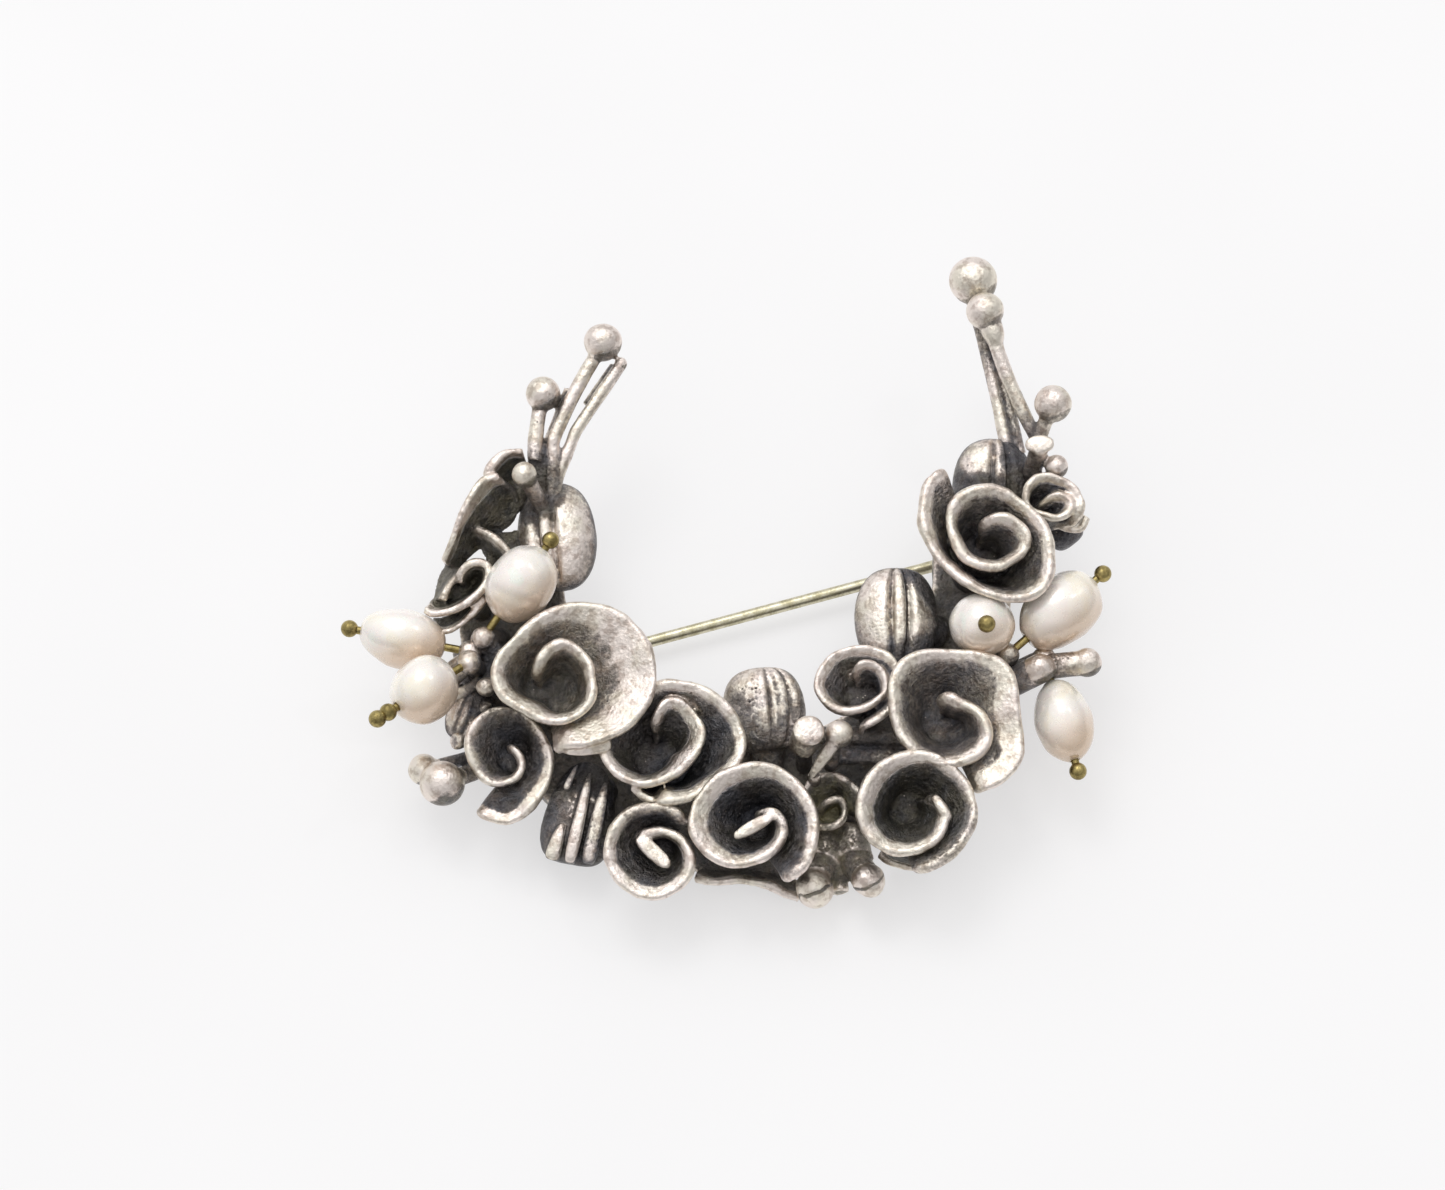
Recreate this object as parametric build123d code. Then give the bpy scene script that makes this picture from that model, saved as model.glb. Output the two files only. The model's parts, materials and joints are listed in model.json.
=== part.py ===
from build123d import *
from collections import namedtuple
from math import atan2, ceil, cos, degrees, floor, radians, sin
import os

# Millimetres. The brooch is laid out about the centre of its back plate, with the
# plate's underside at height 0 and its front upwards. It is then leaned back onto a
# surface, where it rests on the plate's lower edge, the catch and the hinge.

# Back plate: a crescent between two circles, open at the top
PLATE_OUTER = 21.0
PLATE_INNER = 14.2
PLATE_THICK = 1.3
INNER_ACROSS = 1.0
INNER_AWAY = 3.2
LEFT_END = 172.0
RIGHT_END = 386.0

# Heights above the plate's underside are shares of this depth
DEPTH = 10.0
SUNK = 0.35
LEAN_BACK = 10.0

# Rolled flowers: a wall's radius is given at each eighth of a turn, from a first bearing
FLOWER_SIZE = 5.0
WALL = 0.75
EIGHTH = 45.0
FIRST_BEARING = -90.0
FLARE = 0.20
FLARE_MIDDLE = 0.13
MIDDLE_LEVEL = 0.55
ROOT_SHARE = 0.55
ARC_SPAN = 62.0

# Pin stem, its hinge and its catch
STEM_RADIUS = 0.45
STEM_HEADING = 16.1
SWING_LEAN = 35.0
PIVOT_ACROSS = 0.815
PIVOT_AWAY = 0.223
PIVOT_HEIGHT = 1.82
CATCH_SPAN = 33.6
CATCH_HEIGHT = 1.35
NECK_LENGTH = 2.4
NECK_RADIUS = 0.49
THIN_BEFORE_CATCH = 5.1
THIN_RADIUS = 0.36
TIP_PAST_CATCH = 2.4
TIP_LENGTH = 2.0
TIP_RADIUS = 0.06
EYE_RADIUS = 1.1
EYE_THICK = 1.0
EAR_RADIUS = 1.3
EAR_THICK = 0.7
EAR_CLEARANCE = 0.1
EAR_REACH = 5.0
RIVET_RADIUS = 0.5
RIVET_HEAD = 0.35
RIVET_HEAD_RADIUS = 0.8
EYE_FIT = 0.05
EAR_FIT = 0.02
CATCH_WIDTH = 2.4
CATCH_SLOT = 0.65
CATCH_FRONT = 1.25
CATCH_BACK = 1.7

# Lobes of the pods, and the wires with the balls melted on their ends
LOBE_RADIUS = 1.25
WIRE_RADIUS = 0.5
BALL_RADIUS = 1.25

# Lobes and pearls are ovals that end in a small flat, this many degrees round from the waist
TIP_FLAT = 83.0

# Pearls, their head pins and the posts that take the pins
PEARL_SIZE = 5.0
PIN_RADIUS = 0.3
PEARL_BORE = 0.38
PIN_BALL = 0.65
PIN_BALLS_APART = 1.04
PEARL_GAP = 0.1
PIN_SINK = 0.8
PIN_FIT = 0.05
POST_RADIUS = 0.7
POST_BEHIND = 0.9
BOSS_RADIUS = 0.9

# A tool that cuts right through runs this many times further than what it cuts
OVERRUN = 2.0

Flower = namedtuple("Flower", "name across away size rim floor base_across base_away wall start end")
Turn = namedtuple("Turn", "flower s se e ne n nw w sw")
Lobe = namedtuple("Lobe", "pod across away up to_across to_away to_up radius")
Rod = namedtuple("Rod", "across away up to_across to_away to_up radius")
Ball = namedtuple("Ball", "across away up radius")
Pearl = namedtuple("Pearl", "name across away up length width bearing pitch foot_across foot_away balls")

# Where each flower's rim is centred and where its root stands, as shares of the plate's
# outer radius; its size as a share of the common size; its rim and floor heights as shares
# of the depth; its wall as a share of the common wall; the bearings between which its wall
# is rolled up
FLOWERS = [
    Flower("upper_left", -0.83, 0.19, 1.00, 0.65, 0.28, -0.78, 0.09, 0.9, 72, 262),
    Flower("small_left", -0.97, -0.04, 0.54, 0.60, 0.32, -0.90, -0.05, 0.8, -105, 335),
    Flower("large_left", -0.60, -0.37, 1.32, 0.80, 0.36, -0.66, -0.42, 1.0, -92, 520),
    Flower("centre_left", -0.23, -0.59, 1.10, 0.70, 0.33, -0.28, -0.68, 0.9, -100, 478),
    Flower("lowest_middle", 0.08, -0.88, 0.96, 0.75, 0.34, 0.07, -0.83, 0.95, -63, 574),
    Flower("lowest_left", -0.28, -0.99, 0.72, 0.65, 0.34, -0.25, -0.87, 0.9, 47, 660),
    Flower("lower_right", 0.62, -0.84, 0.88, 0.75, 0.32, 0.55, -0.75, 0.95, -84, 385),
    Flower("right_square", 0.76, -0.49, 1.02, 0.75, 0.34, 0.73, -0.47, 0.95, -60, 480),
    Flower("small_centre", 0.43, -0.37, 0.60, 0.60, 0.36, 0.50, -0.46, 0.75, -90, 470),
    Flower("large_right", 0.91, 0.13, 1.06, 0.85, 0.38, 0.84, 0.08, 1.0, 120, 825),
    Flower("small_upper_right", 1.15, 0.30, 0.46, 0.70, 0.40, 0.96, 0.19, 0.7, -30, 505),
    Flower("outer_left", -0.80, -0.64, 0.80, 0.50, 0.26, -0.74, -0.60, 0.85, -112, 455),
    Flower("deep_small", 0.34, -0.80, 0.48, 0.40, 0.22, 0.35, -0.80, 0.75, -2, 540),
]

# Radius of the middle of each flower's wall at every eighth of a turn, from the outer end
# inwards, as shares of the flower's size; 0 where there is no wall
TURNS = [
    Turn("upper_left", 0, 0, 0, 1.30, 1.10, 0.72, 0.68, 0.92),
    Turn("upper_left", 0.68, 0, 0, 0, 0, 0, 0, 0),
    Turn("small_left", 1.15, 0.85, 0.78, 1.00, 0.60, 0.85, 0.93, 1.12),
    Turn("small_left", 0.59, 0.44, 0, 0, 0, 0, 0, 0),
    Turn("large_left", 0.72, 0.88, 1.00, 0.97, 0.80, 0.68, 0.75, 0.55),
    Turn("large_left", 0.49, 0.42, 0.34, 0.36, 0.41, 0.35, 0.30, 0),
    Turn("centre_left", 0.79, 0.79, 1.00, 0.88, 0.82, 0.80, 0.88, 0.72),
    Turn("centre_left", 0.47, 0.38, 0.43, 0.51, 0.56, 0.27, 0, 0),
    Turn("lowest_middle", 0, 0.98, 0.86, 0.80, 0.85, 0.91, 0.98, 0.86),
    Turn("lowest_middle", 0.60, 0.45, 0.34, 0.22, 0.11, 0.14, 0.30, 0.44),
    Turn("lowest_left", 0, 0, 0, 0.90, 1.00, 0.99, 0.94, 0.88),
    Turn("lowest_left", 0.88, 0.84, 0.70, 0.54, 0.46, 0.44, 0.20, 0.19),
    Turn("lowest_left", 0.31, 0.40, 0, 0, 0, 0, 0, 0),
    Turn("lower_right", 1.04, 0.95, 1.00, 0.97, 0.92, 0.87, 0.88, 0.83),
    Turn("lower_right", 0.72, 0.63, 0.53, 0.34, 0, 0, 0, 0),
    Turn("right_square", 0, 1.20, 0.99, 0.94, 0.85, 0.87, 0.76, 0.75),
    Turn("right_square", 0.76, 0.68, 0.37, 0.19, 0.23, 0.28, 0, 0),
    Turn("small_centre", 0.99, 0.97, 1.07, 1.07, 0.98, 0.95, 0.97, 0.78),
    Turn("small_centre", 0.60, 0.58, 0.70, 0.70, 0.50, 0, 0, 0),
    Turn("large_right", 0, 0, 0, 0, 0, 1.20, 0.86, 0.72),
    Turn("large_right", 0.79, 0.97, 0.80, 0.69, 0.74, 0.74, 0.51, 0.42),
    Turn("large_right", 0.42, 0.43, 0.50, 0.40, 0.33, 0, 0, 0),
    Turn("small_upper_right", 0, 1.10, 0.91, 0.76, 0.78, 1.00, 1.00, 0.66),
    Turn("small_upper_right", 0.60, 0.63, 0.54, 0.33, 0.27, 0.27, 0, 0),
    Turn("outer_left", 1.13, 0.87, 0.80, 0.83, 0.98, 0.92, 0.66, 0.52),
    Turn("outer_left", 0.38, 0.30, 0.25, 0.24, 0.28, 0, 0, 0),
    Turn("deep_small", 0, 0, 0.90, 1.00, 1.10, 1.00, 0.78, 0.70),
    Turn("deep_small", 0.56, 0.48, 0.44, 0.44, 0.28, 0.28, 0.36, 0),
]

# Ridged pods, each a bundle of lobes drawn from tip to tip. Here and below, across and away
# are shares of the plate's outer radius, up is a share of the depth, and a radius is a share
# of the common one.
LOBES = [
    Lobe("upper_left", -0.73, 0.39, 0.30, -0.70, 0.03, 0.30, 0.96),
    Lobe("upper_left", -0.67, 0.41, 0.36, -0.64, 0.01, 0.36, 0.88),
    Lobe("upper_left", -0.59, 0.40, 0.30, -0.58, 0.00, 0.30, 1.52),
    Lobe("lower_left", -0.58, -0.66, 0.34, -0.66, -0.95, 0.20, 0.72),
    Lobe("lower_left", -0.51, -0.68, 0.36, -0.59, -0.98, 0.20, 0.72),
    Lobe("lower_left", -0.45, -0.72, 0.34, -0.53, -0.98, 0.20, 0.72),
    Lobe("middle", 0.02, -0.29, 0.28, 0.05, -0.57, 0.24, 1.28),
    Lobe("middle", 0.12, -0.28, 0.36, 0.12, -0.57, 0.30, 1.04),
    Lobe("middle", 0.20, -0.29, 0.30, 0.18, -0.57, 0.26, 0.96),
    Lobe("inner_right", 0.50, 0.06, 0.28, 0.50, -0.26, 0.28, 1.20),
    Lobe("inner_right", 0.58, 0.09, 0.36, 0.58, -0.28, 0.34, 0.88),
    Lobe("inner_right", 0.66, 0.08, 0.28, 0.66, -0.26, 0.28, 1.20),
    Lobe("upper_right", 0.87, 0.55, 0.30, 0.86, 0.25, 0.24, 1.20),
    Lobe("upper_right", 0.95, 0.58, 0.38, 0.94, 0.25, 0.28, 0.88),
    Lobe("upper_right", 1.04, 0.54, 0.30, 1.02, 0.22, 0.24, 1.20),
    Lobe("outer_left", -0.94, -0.36, 0.30, -1.03, -0.53, 0.28, 0.80),
    Lobe("outer_left", -0.91, -0.38, 0.30, -0.94, -0.53, 0.28, 0.64),
]

# Straight wires and stalks, from the free end to the foot
RODS = [
    Rod(-0.48, 0.89, 0.60, -0.67, 0.50, 0.48, 0.94),
    Rod(-0.40, 0.83, 0.50, -0.65, 0.46, 0.42, 1.00),
    Rod(-0.69, 0.72, 0.55, -0.70, 0.47, 0.46, 0.84),
    Rod(-0.67, 0.50, 0.46, -0.72, 0.10, 0.10, 1.60),
    Rod(-0.75, 0.38, 0.75, -0.71, 0.30, 0.40, 1.10),
    Rod(0.875, 1.165, 0.50, 0.98, 0.54, 0.36, 1.30),
    Rod(0.91, 1.02, 0.65, 1.04, 0.55, 0.40, 1.00),
    Rod(1.16, 0.68, 0.60, 1.08, 0.42, 0.34, 1.20),
    Rod(1.09, 0.51, 0.74, 1.04, 0.38, 0.30, 1.90),
    Rod(1.17, 0.42, 0.65, 1.08, 0.34, 0.30, 1.20),
    Rod(1.15, 0.30, 0.42, 0.96, 0.28, 0.14, 1.60),
    Rod(1.08, -0.31, 0.55, 0.88, -0.38, 0.24, 1.50),
    Rod(1.25, -0.28, 0.50, 1.12, -0.29, 0.45, 1.60),
    Rod(1.12, -0.29, 0.45, 0.90, -0.30, 0.10, 1.60),
    Rod(-1.03, -0.71, 0.40, -0.84, -0.60, 0.12, 1.40),
    Rod(-1.10, -0.65, 0.30, -0.86, -0.56, 0.12, 1.10),
    Rod(-0.88, -0.22, 0.55, -0.85, -0.24, 0.08, 1.20),
    Rod(-0.88, -0.38, 0.50, -0.84, -0.36, 0.08, 1.20),
    Rod(-0.99, -0.55, 0.35, -0.82, -0.48, 0.08, 1.20),
    Rod(0.26, -0.56, 0.75, 0.27, -0.62, 0.08, 1.10),
    Rod(0.35, -0.57, 0.70, 0.28, -0.68, 0.40, 1.00),
    Rod(0.28, -0.68, 0.40, 0.28, -0.72, 0.08, 1.00),
    Rod(0.28, -1.08, 0.35, 0.34, -0.92, 0.12, 1.20),
    Rod(0.47, -1.06, 0.40, 0.37, -0.92, 0.12, 1.20),
    Rod(-0.53, -0.80, 0.32, -0.47, -0.70, 0.08, 2.60),
    Rod(0.11, -0.44, 0.30, 0.12, -0.62, 0.08, 2.60),
    Rod(0.58, -0.10, 0.30, 0.74, -0.12, 0.08, 2.60),
    Rod(-0.97, -0.44, 0.28, -0.84, -0.42, 0.08, 1.60),
    Rod(0.30, -0.53, 0.36, 0.70, -0.53, 0.30, 1.40),
    Rod(0.36, -0.60, 0.30, 0.66, -0.60, 0.28, 1.30),
]

# Balls melted on the free ends of wires
BALLS = [
    Ball(-0.48, 0.89, 0.60, 1.14),
    Ball(-0.40, 0.83, 0.50, 0.40),
    Ball(-0.69, 0.72, 0.55, 1.08),
    Ball(-0.67, 0.50, 0.46, 0.64),
    Ball(-0.75, 0.38, 0.75, 0.76),
    Ball(0.875, 1.165, 0.50, 1.50),
    Ball(0.91, 1.02, 0.65, 1.14),
    Ball(1.16, 0.68, 0.60, 1.20),
    Ball(1.17, 0.42, 0.65, 0.68),
    Ball(1.08, -0.31, 0.55, 0.88),
    Ball(1.25, -0.28, 0.50, 0.88),
    Ball(-1.03, -0.71, 0.40, 1.36),
    Ball(-1.10, -0.65, 0.30, 0.96),
    Ball(-0.88, -0.22, 0.55, 0.64),
    Ball(-0.88, -0.38, 0.50, 0.60),
    Ball(-0.99, -0.55, 0.35, 0.64),
    Ball(0.26, -0.56, 0.75, 0.96),
    Ball(0.35, -0.57, 0.70, 0.84),
    Ball(0.28, -1.08, 0.35, 1.14),
    Ball(0.47, -1.06, 0.40, 1.02),
]

# Pearls: centre; length along the bore and width as shares of the common size; the way the
# bore's outer end points, in degrees; the foot of its post; and its metal balls
PEARLS = [
    Pearl("upper_left", -0.76, 0.00, 0.58, 1.26, 1.00, 55, 10, -0.84, -0.14, 1),
    Pearl("far_left", -1.18, -0.19, 0.46, 1.32, 0.90, 170, 5, -0.88, -0.20, 1),
    Pearl("front_left", -1.09, -0.41, 0.72, 1.10, 1.00, 220, 25, -0.88, -0.30, 2),
    Pearl("inner_right", 0.88, -0.16, 0.62, 1.04, 0.98, 270, 76, 0.88, -0.12, 1),
    Pearl("far_right", 1.16, -0.09, 0.52, 1.38, 1.00, 40, 5, 0.91, -0.22, 1),
    Pearl("low_right", 1.16, -0.49, 0.46, 1.32, 0.88, 284, 5, 0.92, -0.30, 1),
]


def spot(across, away, up):
    """A place on the brooch from shares of the plate's radius and of the depth."""
    return Vector(across * PLATE_OUTER, away * PLATE_OUTER, up * DEPTH)


def leaned(shape):
    """Leans a shape back from the plate's frame to the way it rests on a surface."""
    lift = PLATE_OUTER * sin(radians(LEAN_BACK))
    return Location((0, 0, lift), (LEAN_BACK, 0, 0)) * shape


def back_plate():
    """The plain crescent that carries everything."""
    outer = CenterArc((0, 0), PLATE_OUTER, LEFT_END, RIGHT_END - LEFT_END)
    inner_centre = Vector(INNER_ACROSS, INNER_AWAY)
    start, end = (inner_point(outer @ 1, inner_centre), inner_point(outer @ 0, inner_centre))
    bottom = inner_centre + Vector(0, -PLATE_INNER)
    inner = ThreePointArc(start, bottom, end)
    wire = Wire([outer.edge(), Line(outer @ 1, start).edge(), inner.edge(), Line(end, outer @ 0).edge()])
    return extrude(Face(wire), PLATE_THICK)


def inner_point(tip, inner_centre):
    """Where the inner circle is met by the line from an arm's outer tip to its centre."""
    outward = (tip - inner_centre).normalized()
    return inner_centre + outward * PLATE_INNER


def full_size(flower):
    return flower.size * FLOWER_SIZE


def knots(flower):
    """Bearings and radii of a flower's wall at each eighth of a turn that has a wall."""
    shares = [share for turn in TURNS if turn.flower == flower.name for share in turn[1:]]
    return [(FIRST_BEARING + EIGHTH * place, share * full_size(flower))
            for place, share in enumerate(shares) if share]


def wall_radius(table, bearing):
    """Radius of the wall at a bearing, as a smooth curve through the eighth-turn radii."""
    first = table[0][0]
    place = (bearing - first) / EIGHTH
    step = min(max(floor(place), 0), len(table) - 2)
    part = place - step
    radii = [table[min(max(step + k, 0), len(table) - 1)][1] for k in (-1, 0, 1, 2)]
    if step == 0:
        radii[0] = 2 * radii[1] - radii[2]
    if step == len(table) - 2:
        radii[3] = 2 * radii[2] - radii[1]
    rise_in = (radii[2] - radii[0]) / 2
    rise_out = (radii[3] - radii[1]) / 2
    bend = 2 * (radii[1] - radii[2]) + rise_in + rise_out
    sag = 3 * (radii[2] - radii[1]) - 2 * rise_in - rise_out
    return radii[1] + rise_in * part + sag * part**2 + bend * part**3


def polar(radius, bearing):
    return Vector(radius * cos(radians(bearing)), radius * sin(radians(bearing)))


def wall_point(flower, table, bearing, flare, side):
    """A point on one face of the wall, drawn inwards from the rim by the flare."""
    def middle(angle):
        radius = wall_radius(table, angle)
        return polar(radius * (1 - flare * radius / full_size(flower)), angle)

    ahead = (middle(bearing + 1) - middle(bearing - 1)).normalized()
    outward = Vector(ahead.Y, -ahead.X)
    return middle(bearing) + outward * (side * flower.wall * WALL / 2)


def centre_at(flower, height):
    """The flower leans from its root on the plate to its rim."""
    base = Vector(flower.base_across, flower.base_away) * PLATE_OUTER
    rim = Vector(flower.across, flower.away) * PLATE_OUTER
    rise = height / (flower.rim * DEPTH)
    return base + (rim - base) * rise + Vector(0, 0, height)


def rolled_wall(flower):
    """The rolled-up strip of one flower, lofted from its floor to its flared rim."""
    table = knots(flower)
    count = ceil((flower.end - flower.start) / ARC_SPAN)
    stops = [flower.start + (flower.end - flower.start) * k / (2 * count) for k in range(2 * count + 1)]
    low, high = flower.floor * DEPTH, flower.rim * DEPTH
    levels = [(low - SUNK, FLARE), (low + MIDDLE_LEVEL * (high - low), FLARE_MIDDLE), (high, 0)]
    sections = []
    for height, flare in levels:
        outer = [wall_point(flower, table, stop, flare, 1) for stop in stops]
        inner = [wall_point(flower, table, stop, flare, -1) for stop in reversed(stops)]
        edges = arcs_through(outer) + [Line(outer[-1], inner[0]).edge()]
        edges += arcs_through(inner) + [Line(inner[-1], outer[0]).edge()]
        sections.append(Pos(centre_at(flower, height)) * Face(Wire(edges)))
    return loft(sections, ruled=True)


def arcs_through(points):
    """Arcs that each pass through three points in turn."""
    return [ThreePointArc(*points[k:k + 3]).edge() for k in range(0, len(points) - 2, 2)]


def root(flower):
    """The solid root of one flower, from the plate up to the floor of its cup."""
    table = knots(flower)
    first, last = table[0][0], table[-1][0]
    outline = []
    for place in range(8):
        bearing = first + EIGHTH * place
        radius = wall_radius(table, min(bearing, last))
        outline.append(polar(radius * (1 - FLARE * radius / full_size(flower)), bearing))
    low, high = PLATE_THICK - SUNK, flower.floor * DEPTH
    top = Pos(centre_at(flower, high)) * closed_outline(outline)
    bottom = Pos(centre_at(flower, low)) * closed_outline([point * ROOT_SHARE for point in outline])
    return loft([bottom, top], ruled=True)


def closed_outline(points):
    """A face bounded by arcs through a ring of points."""
    return Face(Wire(arcs_through(points + points[:1])))


def oval_body(radius, half_length):
    """A round body with an oval outline, lengthways along Z, with a tiny flat at each tip."""
    curve = EllipticalCenterArc((0, 0), radius, half_length, -TIP_FLAT, arc_size=2 * TIP_FLAT)
    low, high = Vector(0, (curve @ 0).Y), Vector(0, (curve @ 1).Y)
    edges = [curve.edge(), Line(curve @ 1, high).edge(), Line(high, low).edge(), Line(low, curve @ 0).edge()]
    return Rot(90, 0, 0) * revolve(make_face(edges), Axis.Y)


def lobe(row):
    """One oval lobe of a pod, drawn from tip to tip."""
    start = spot(row.across, row.away, row.up)
    end = spot(row.to_across, row.to_away, row.to_up)
    place = Plane(origin=(start + end) / 2, z_dir=end - start)
    return place * oval_body(row.radius * LOBE_RADIUS, (end - start).length / 2)


def pod(name):
    """A ridged pod: its lobes side by side in one solid."""
    lobes = [lobe(row) for row in LOBES if row.pod == name]
    return lobes[0].fuse(*lobes[1:])


def rod(row):
    """A straight round wire from its free end to its foot."""
    start = spot(row.across, row.away, row.up)
    end = spot(row.to_across, row.to_away, row.to_up)
    length = (end - start).length
    return Plane(origin=start, z_dir=end - start) * Cylinder(
        row.radius * WIRE_RADIUS, length, align=(Align.CENTER, Align.CENTER, Align.MIN))


def ball(row):
    return Pos(spot(row.across, row.away, row.up)) * Sphere(row.radius * BALL_RADIUS)


def pearl_axis(pearl):
    """The way that the outer end of a pearl's bore points."""
    flat = cos(radians(pearl.pitch))
    return Vector(flat * cos(radians(pearl.bearing)), flat * sin(radians(pearl.bearing)),
                  sin(radians(pearl.pitch)))


def pearl_plane(pearl):
    return Plane(origin=spot(pearl.across, pearl.away, pearl.up), z_dir=pearl_axis(pearl))


def half_length(pearl):
    return pearl.length * PEARL_SIZE / 2


def pearl_body(pearl, grown):
    """A plain oval pearl without its bore, or a slightly larger one for its seat."""
    half_width = pearl.width * PEARL_SIZE / 2
    return pearl_plane(pearl) * oval_body(half_width + grown, half_length(pearl) + grown)


def drilled_pearl(pearl):
    bore = pearl_plane(pearl) * Cylinder(PEARL_BORE, OVERRUN * 2 * half_length(pearl))
    return pearl_body(pearl, 0) - bore


def pin_end(pearl):
    """Distance of a head pin's inner end behind the middle of its pearl."""
    return half_length(pearl) + POST_BEHIND + PIN_SINK


def head_pin(pearl, grown=0):
    """The pin through a pearl, with one metal ball or two at its outer end."""
    tail = pin_end(pearl) + grown
    wire_length = tail + half_length(pearl) + PIN_BALL
    wire = Pos(0, 0, -tail) * Cylinder(
        PIN_RADIUS + grown, wire_length, align=(Align.CENTER, Align.CENTER, Align.MIN))
    parts = wire
    for place in range(pearl.balls):
        height = half_length(pearl) + PEARL_GAP + PIN_BALL + place * PIN_BALLS_APART
        parts += Pos(0, 0, height) * Sphere(PIN_BALL + grown)
    return pearl_plane(pearl) * parts


def pearl_post(pearl):
    """The post that takes a head pin, from a boss behind the pearl down to the plate."""
    centre = spot(pearl.across, pearl.away, pearl.up)
    boss = centre - pearl_axis(pearl) * (half_length(pearl) + POST_BEHIND + BOSS_RADIUS)
    foot = spot(pearl.foot_across, pearl.foot_away, 0) + Vector(0, 0, PLATE_THICK - SUNK)
    length = (foot - boss).length
    post = Plane(origin=boss, z_dir=foot - boss) * Cylinder(
        POST_RADIUS, length, align=(Align.CENTER, Align.CENTER, Align.MIN))
    return [Pos(boss) * Sphere(BOSS_RADIUS), post]


# The stem runs level with the surface, so the hinge and catch are laid out in the resting
# frame, from the pivot: along the stem to its tip, and along the way that the tip swings.
PIVOT = Vector(PIVOT_ACROSS * PLATE_OUTER, PIVOT_AWAY * PLATE_OUTER, PIVOT_HEIGHT)
LEVEL_TO_TIP = Vector(-cos(radians(STEM_HEADING)), -sin(radians(STEM_HEADING)))
CATCH_PLACE = PIVOT + LEVEL_TO_TIP * CATCH_SPAN + Vector(0, 0, CATCH_HEIGHT - PIVOT_HEIGHT)
TO_TIP = (CATCH_PLACE - PIVOT).normalized()
SIDEWAYS = Vector(-sin(radians(STEM_HEADING)), cos(radians(STEM_HEADING)))
NEAR_SWING = SIDEWAYS * -sin(radians(SWING_LEAN)) + Vector(0, 0, -cos(radians(SWING_LEAN)))
HINGE_AXIS = TO_TIP.cross(NEAR_SWING).normalized()
SWING = HINGE_AXIS.cross(TO_TIP).normalized()
HINGE_PLANE = Plane(origin=PIVOT, x_dir=TO_TIP, z_dir=HINGE_AXIS)
STEM_LENGTH = (CATCH_PLACE - PIVOT).length + TIP_PAST_CATCH


def under_plate(shape):
    """Cuts a fitting off inside the plate's thickness, where it is soldered on."""
    width = OVERRUN * 2 * PLATE_OUTER
    below = Box(width, width, DEPTH, align=(Align.CENTER, Align.CENTER, Align.MAX))
    return shape & leaned(Pos(0, 0, PLATE_THICK / 2) * below)


def hinge_ears():
    """Two ears that come down from the plate on either side of the stem's eye."""
    ears = []
    inner = EYE_THICK / 2 + EAR_CLEARANCE
    for side in (-1, 1):
        level = inner if side > 0 else -inner - EAR_THICK
        outline = Circle(EAR_RADIUS) + Pos(0, -EAR_REACH / 2) * Rectangle(2 * EAR_RADIUS, EAR_REACH)
        bored = outline - Circle(RIVET_RADIUS + EAR_FIT)
        ears.append(under_plate(HINGE_PLANE * Pos(0, 0, level) * extrude(bored, EAR_THICK)))
    return ears


def pin_stem():
    """The sprung pin: an eye round the rivet, and a round stem that thins to its point."""
    catch_at = STEM_LENGTH - TIP_PAST_CATCH
    outline = Polyline((0, 0), (0, NECK_RADIUS), (NECK_LENGTH, STEM_RADIUS),
                       (catch_at - THIN_BEFORE_CATCH, STEM_RADIUS), (STEM_LENGTH - TIP_LENGTH, THIN_RADIUS),
                       (STEM_LENGTH, TIP_RADIUS), (STEM_LENGTH, 0), close=True)
    stem = revolve(make_face(outline.edges()), Axis.X)
    eye = extrude(Circle(EYE_RADIUS), EYE_THICK / 2, both=True)
    bore = Cylinder(RIVET_RADIUS + EYE_FIT, OVERRUN * EYE_THICK)
    return HINGE_PLANE * (eye + stem - bore)


def hinge_rivet():
    """The rivet through both ears, with a flat head at each end."""
    half = EYE_THICK / 2 + EAR_CLEARANCE + EAR_THICK + EAR_FIT
    shank = Cylinder(RIVET_RADIUS, 2 * half)
    heads = [Pos(0, 0, side * (half + RIVET_HEAD / 2)) * Cylinder(RIVET_HEAD_RADIUS, RIVET_HEAD)
             for side in (-1, 1)]
    return HINGE_PLANE * (shank + heads[0] + heads[1])


def catch():
    """A block under the plate with a slanting slot that the stem springs into."""
    plane = Plane(origin=CATCH_PLACE, x_dir=SIDEWAYS, z_dir=-LEVEL_TO_TIP)
    bottom = Pos(-CATCH_FRONT, -CATCH_HEIGHT)
    block = bottom * Rectangle(CATCH_FRONT + CATCH_BACK, DEPTH, align=(Align.MIN, Align.MIN))
    way_out = Vector(SWING.dot(plane.x_dir), SWING.dot(plane.y_dir)).normalized()
    turn = Rot(0, 0, degrees(atan2(way_out.Y, way_out.X)))
    mouth = OVERRUN * CATCH_BACK
    slot = turn * (Circle(CATCH_SLOT) + Pos(mouth / 2) * Rectangle(mouth, 2 * CATCH_SLOT))
    return under_plate(extrude(plane * (block - slot), CATCH_WIDTH / 2, both=True))


def silver_cluster():
    """Everything that is soldered together: plate, flowers, pods, wires, hinge and catch."""
    flowers = [leaned(make(flower)) for flower in FLOWERS for make in (root, rolled_wall)]
    wires = [leaned(rod(row)) for row in RODS] + [leaned(ball(row)) for row in BALLS]
    pods = [[leaned(pod(name))] for name in sorted({row.pod for row in LOBES})]
    fittings = [leaned(piece) for pearl in PEARLS for piece in pearl_post(pearl)]
    fittings += hinge_ears() + [catch()]
    whole = leaned(back_plate())
    for stage in (flowers, wires, *pods, fittings):
        whole = whole.fuse(*stage)
        print("metal so far", round(whole.volume, 1), "mm3 in", len(whole.solids()))
    for pearl in PEARLS:
        whole = whole - leaned(pearl_body(pearl, PEARL_GAP)) - leaned(head_pin(pearl, PIN_FIT))
    return whole


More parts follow.
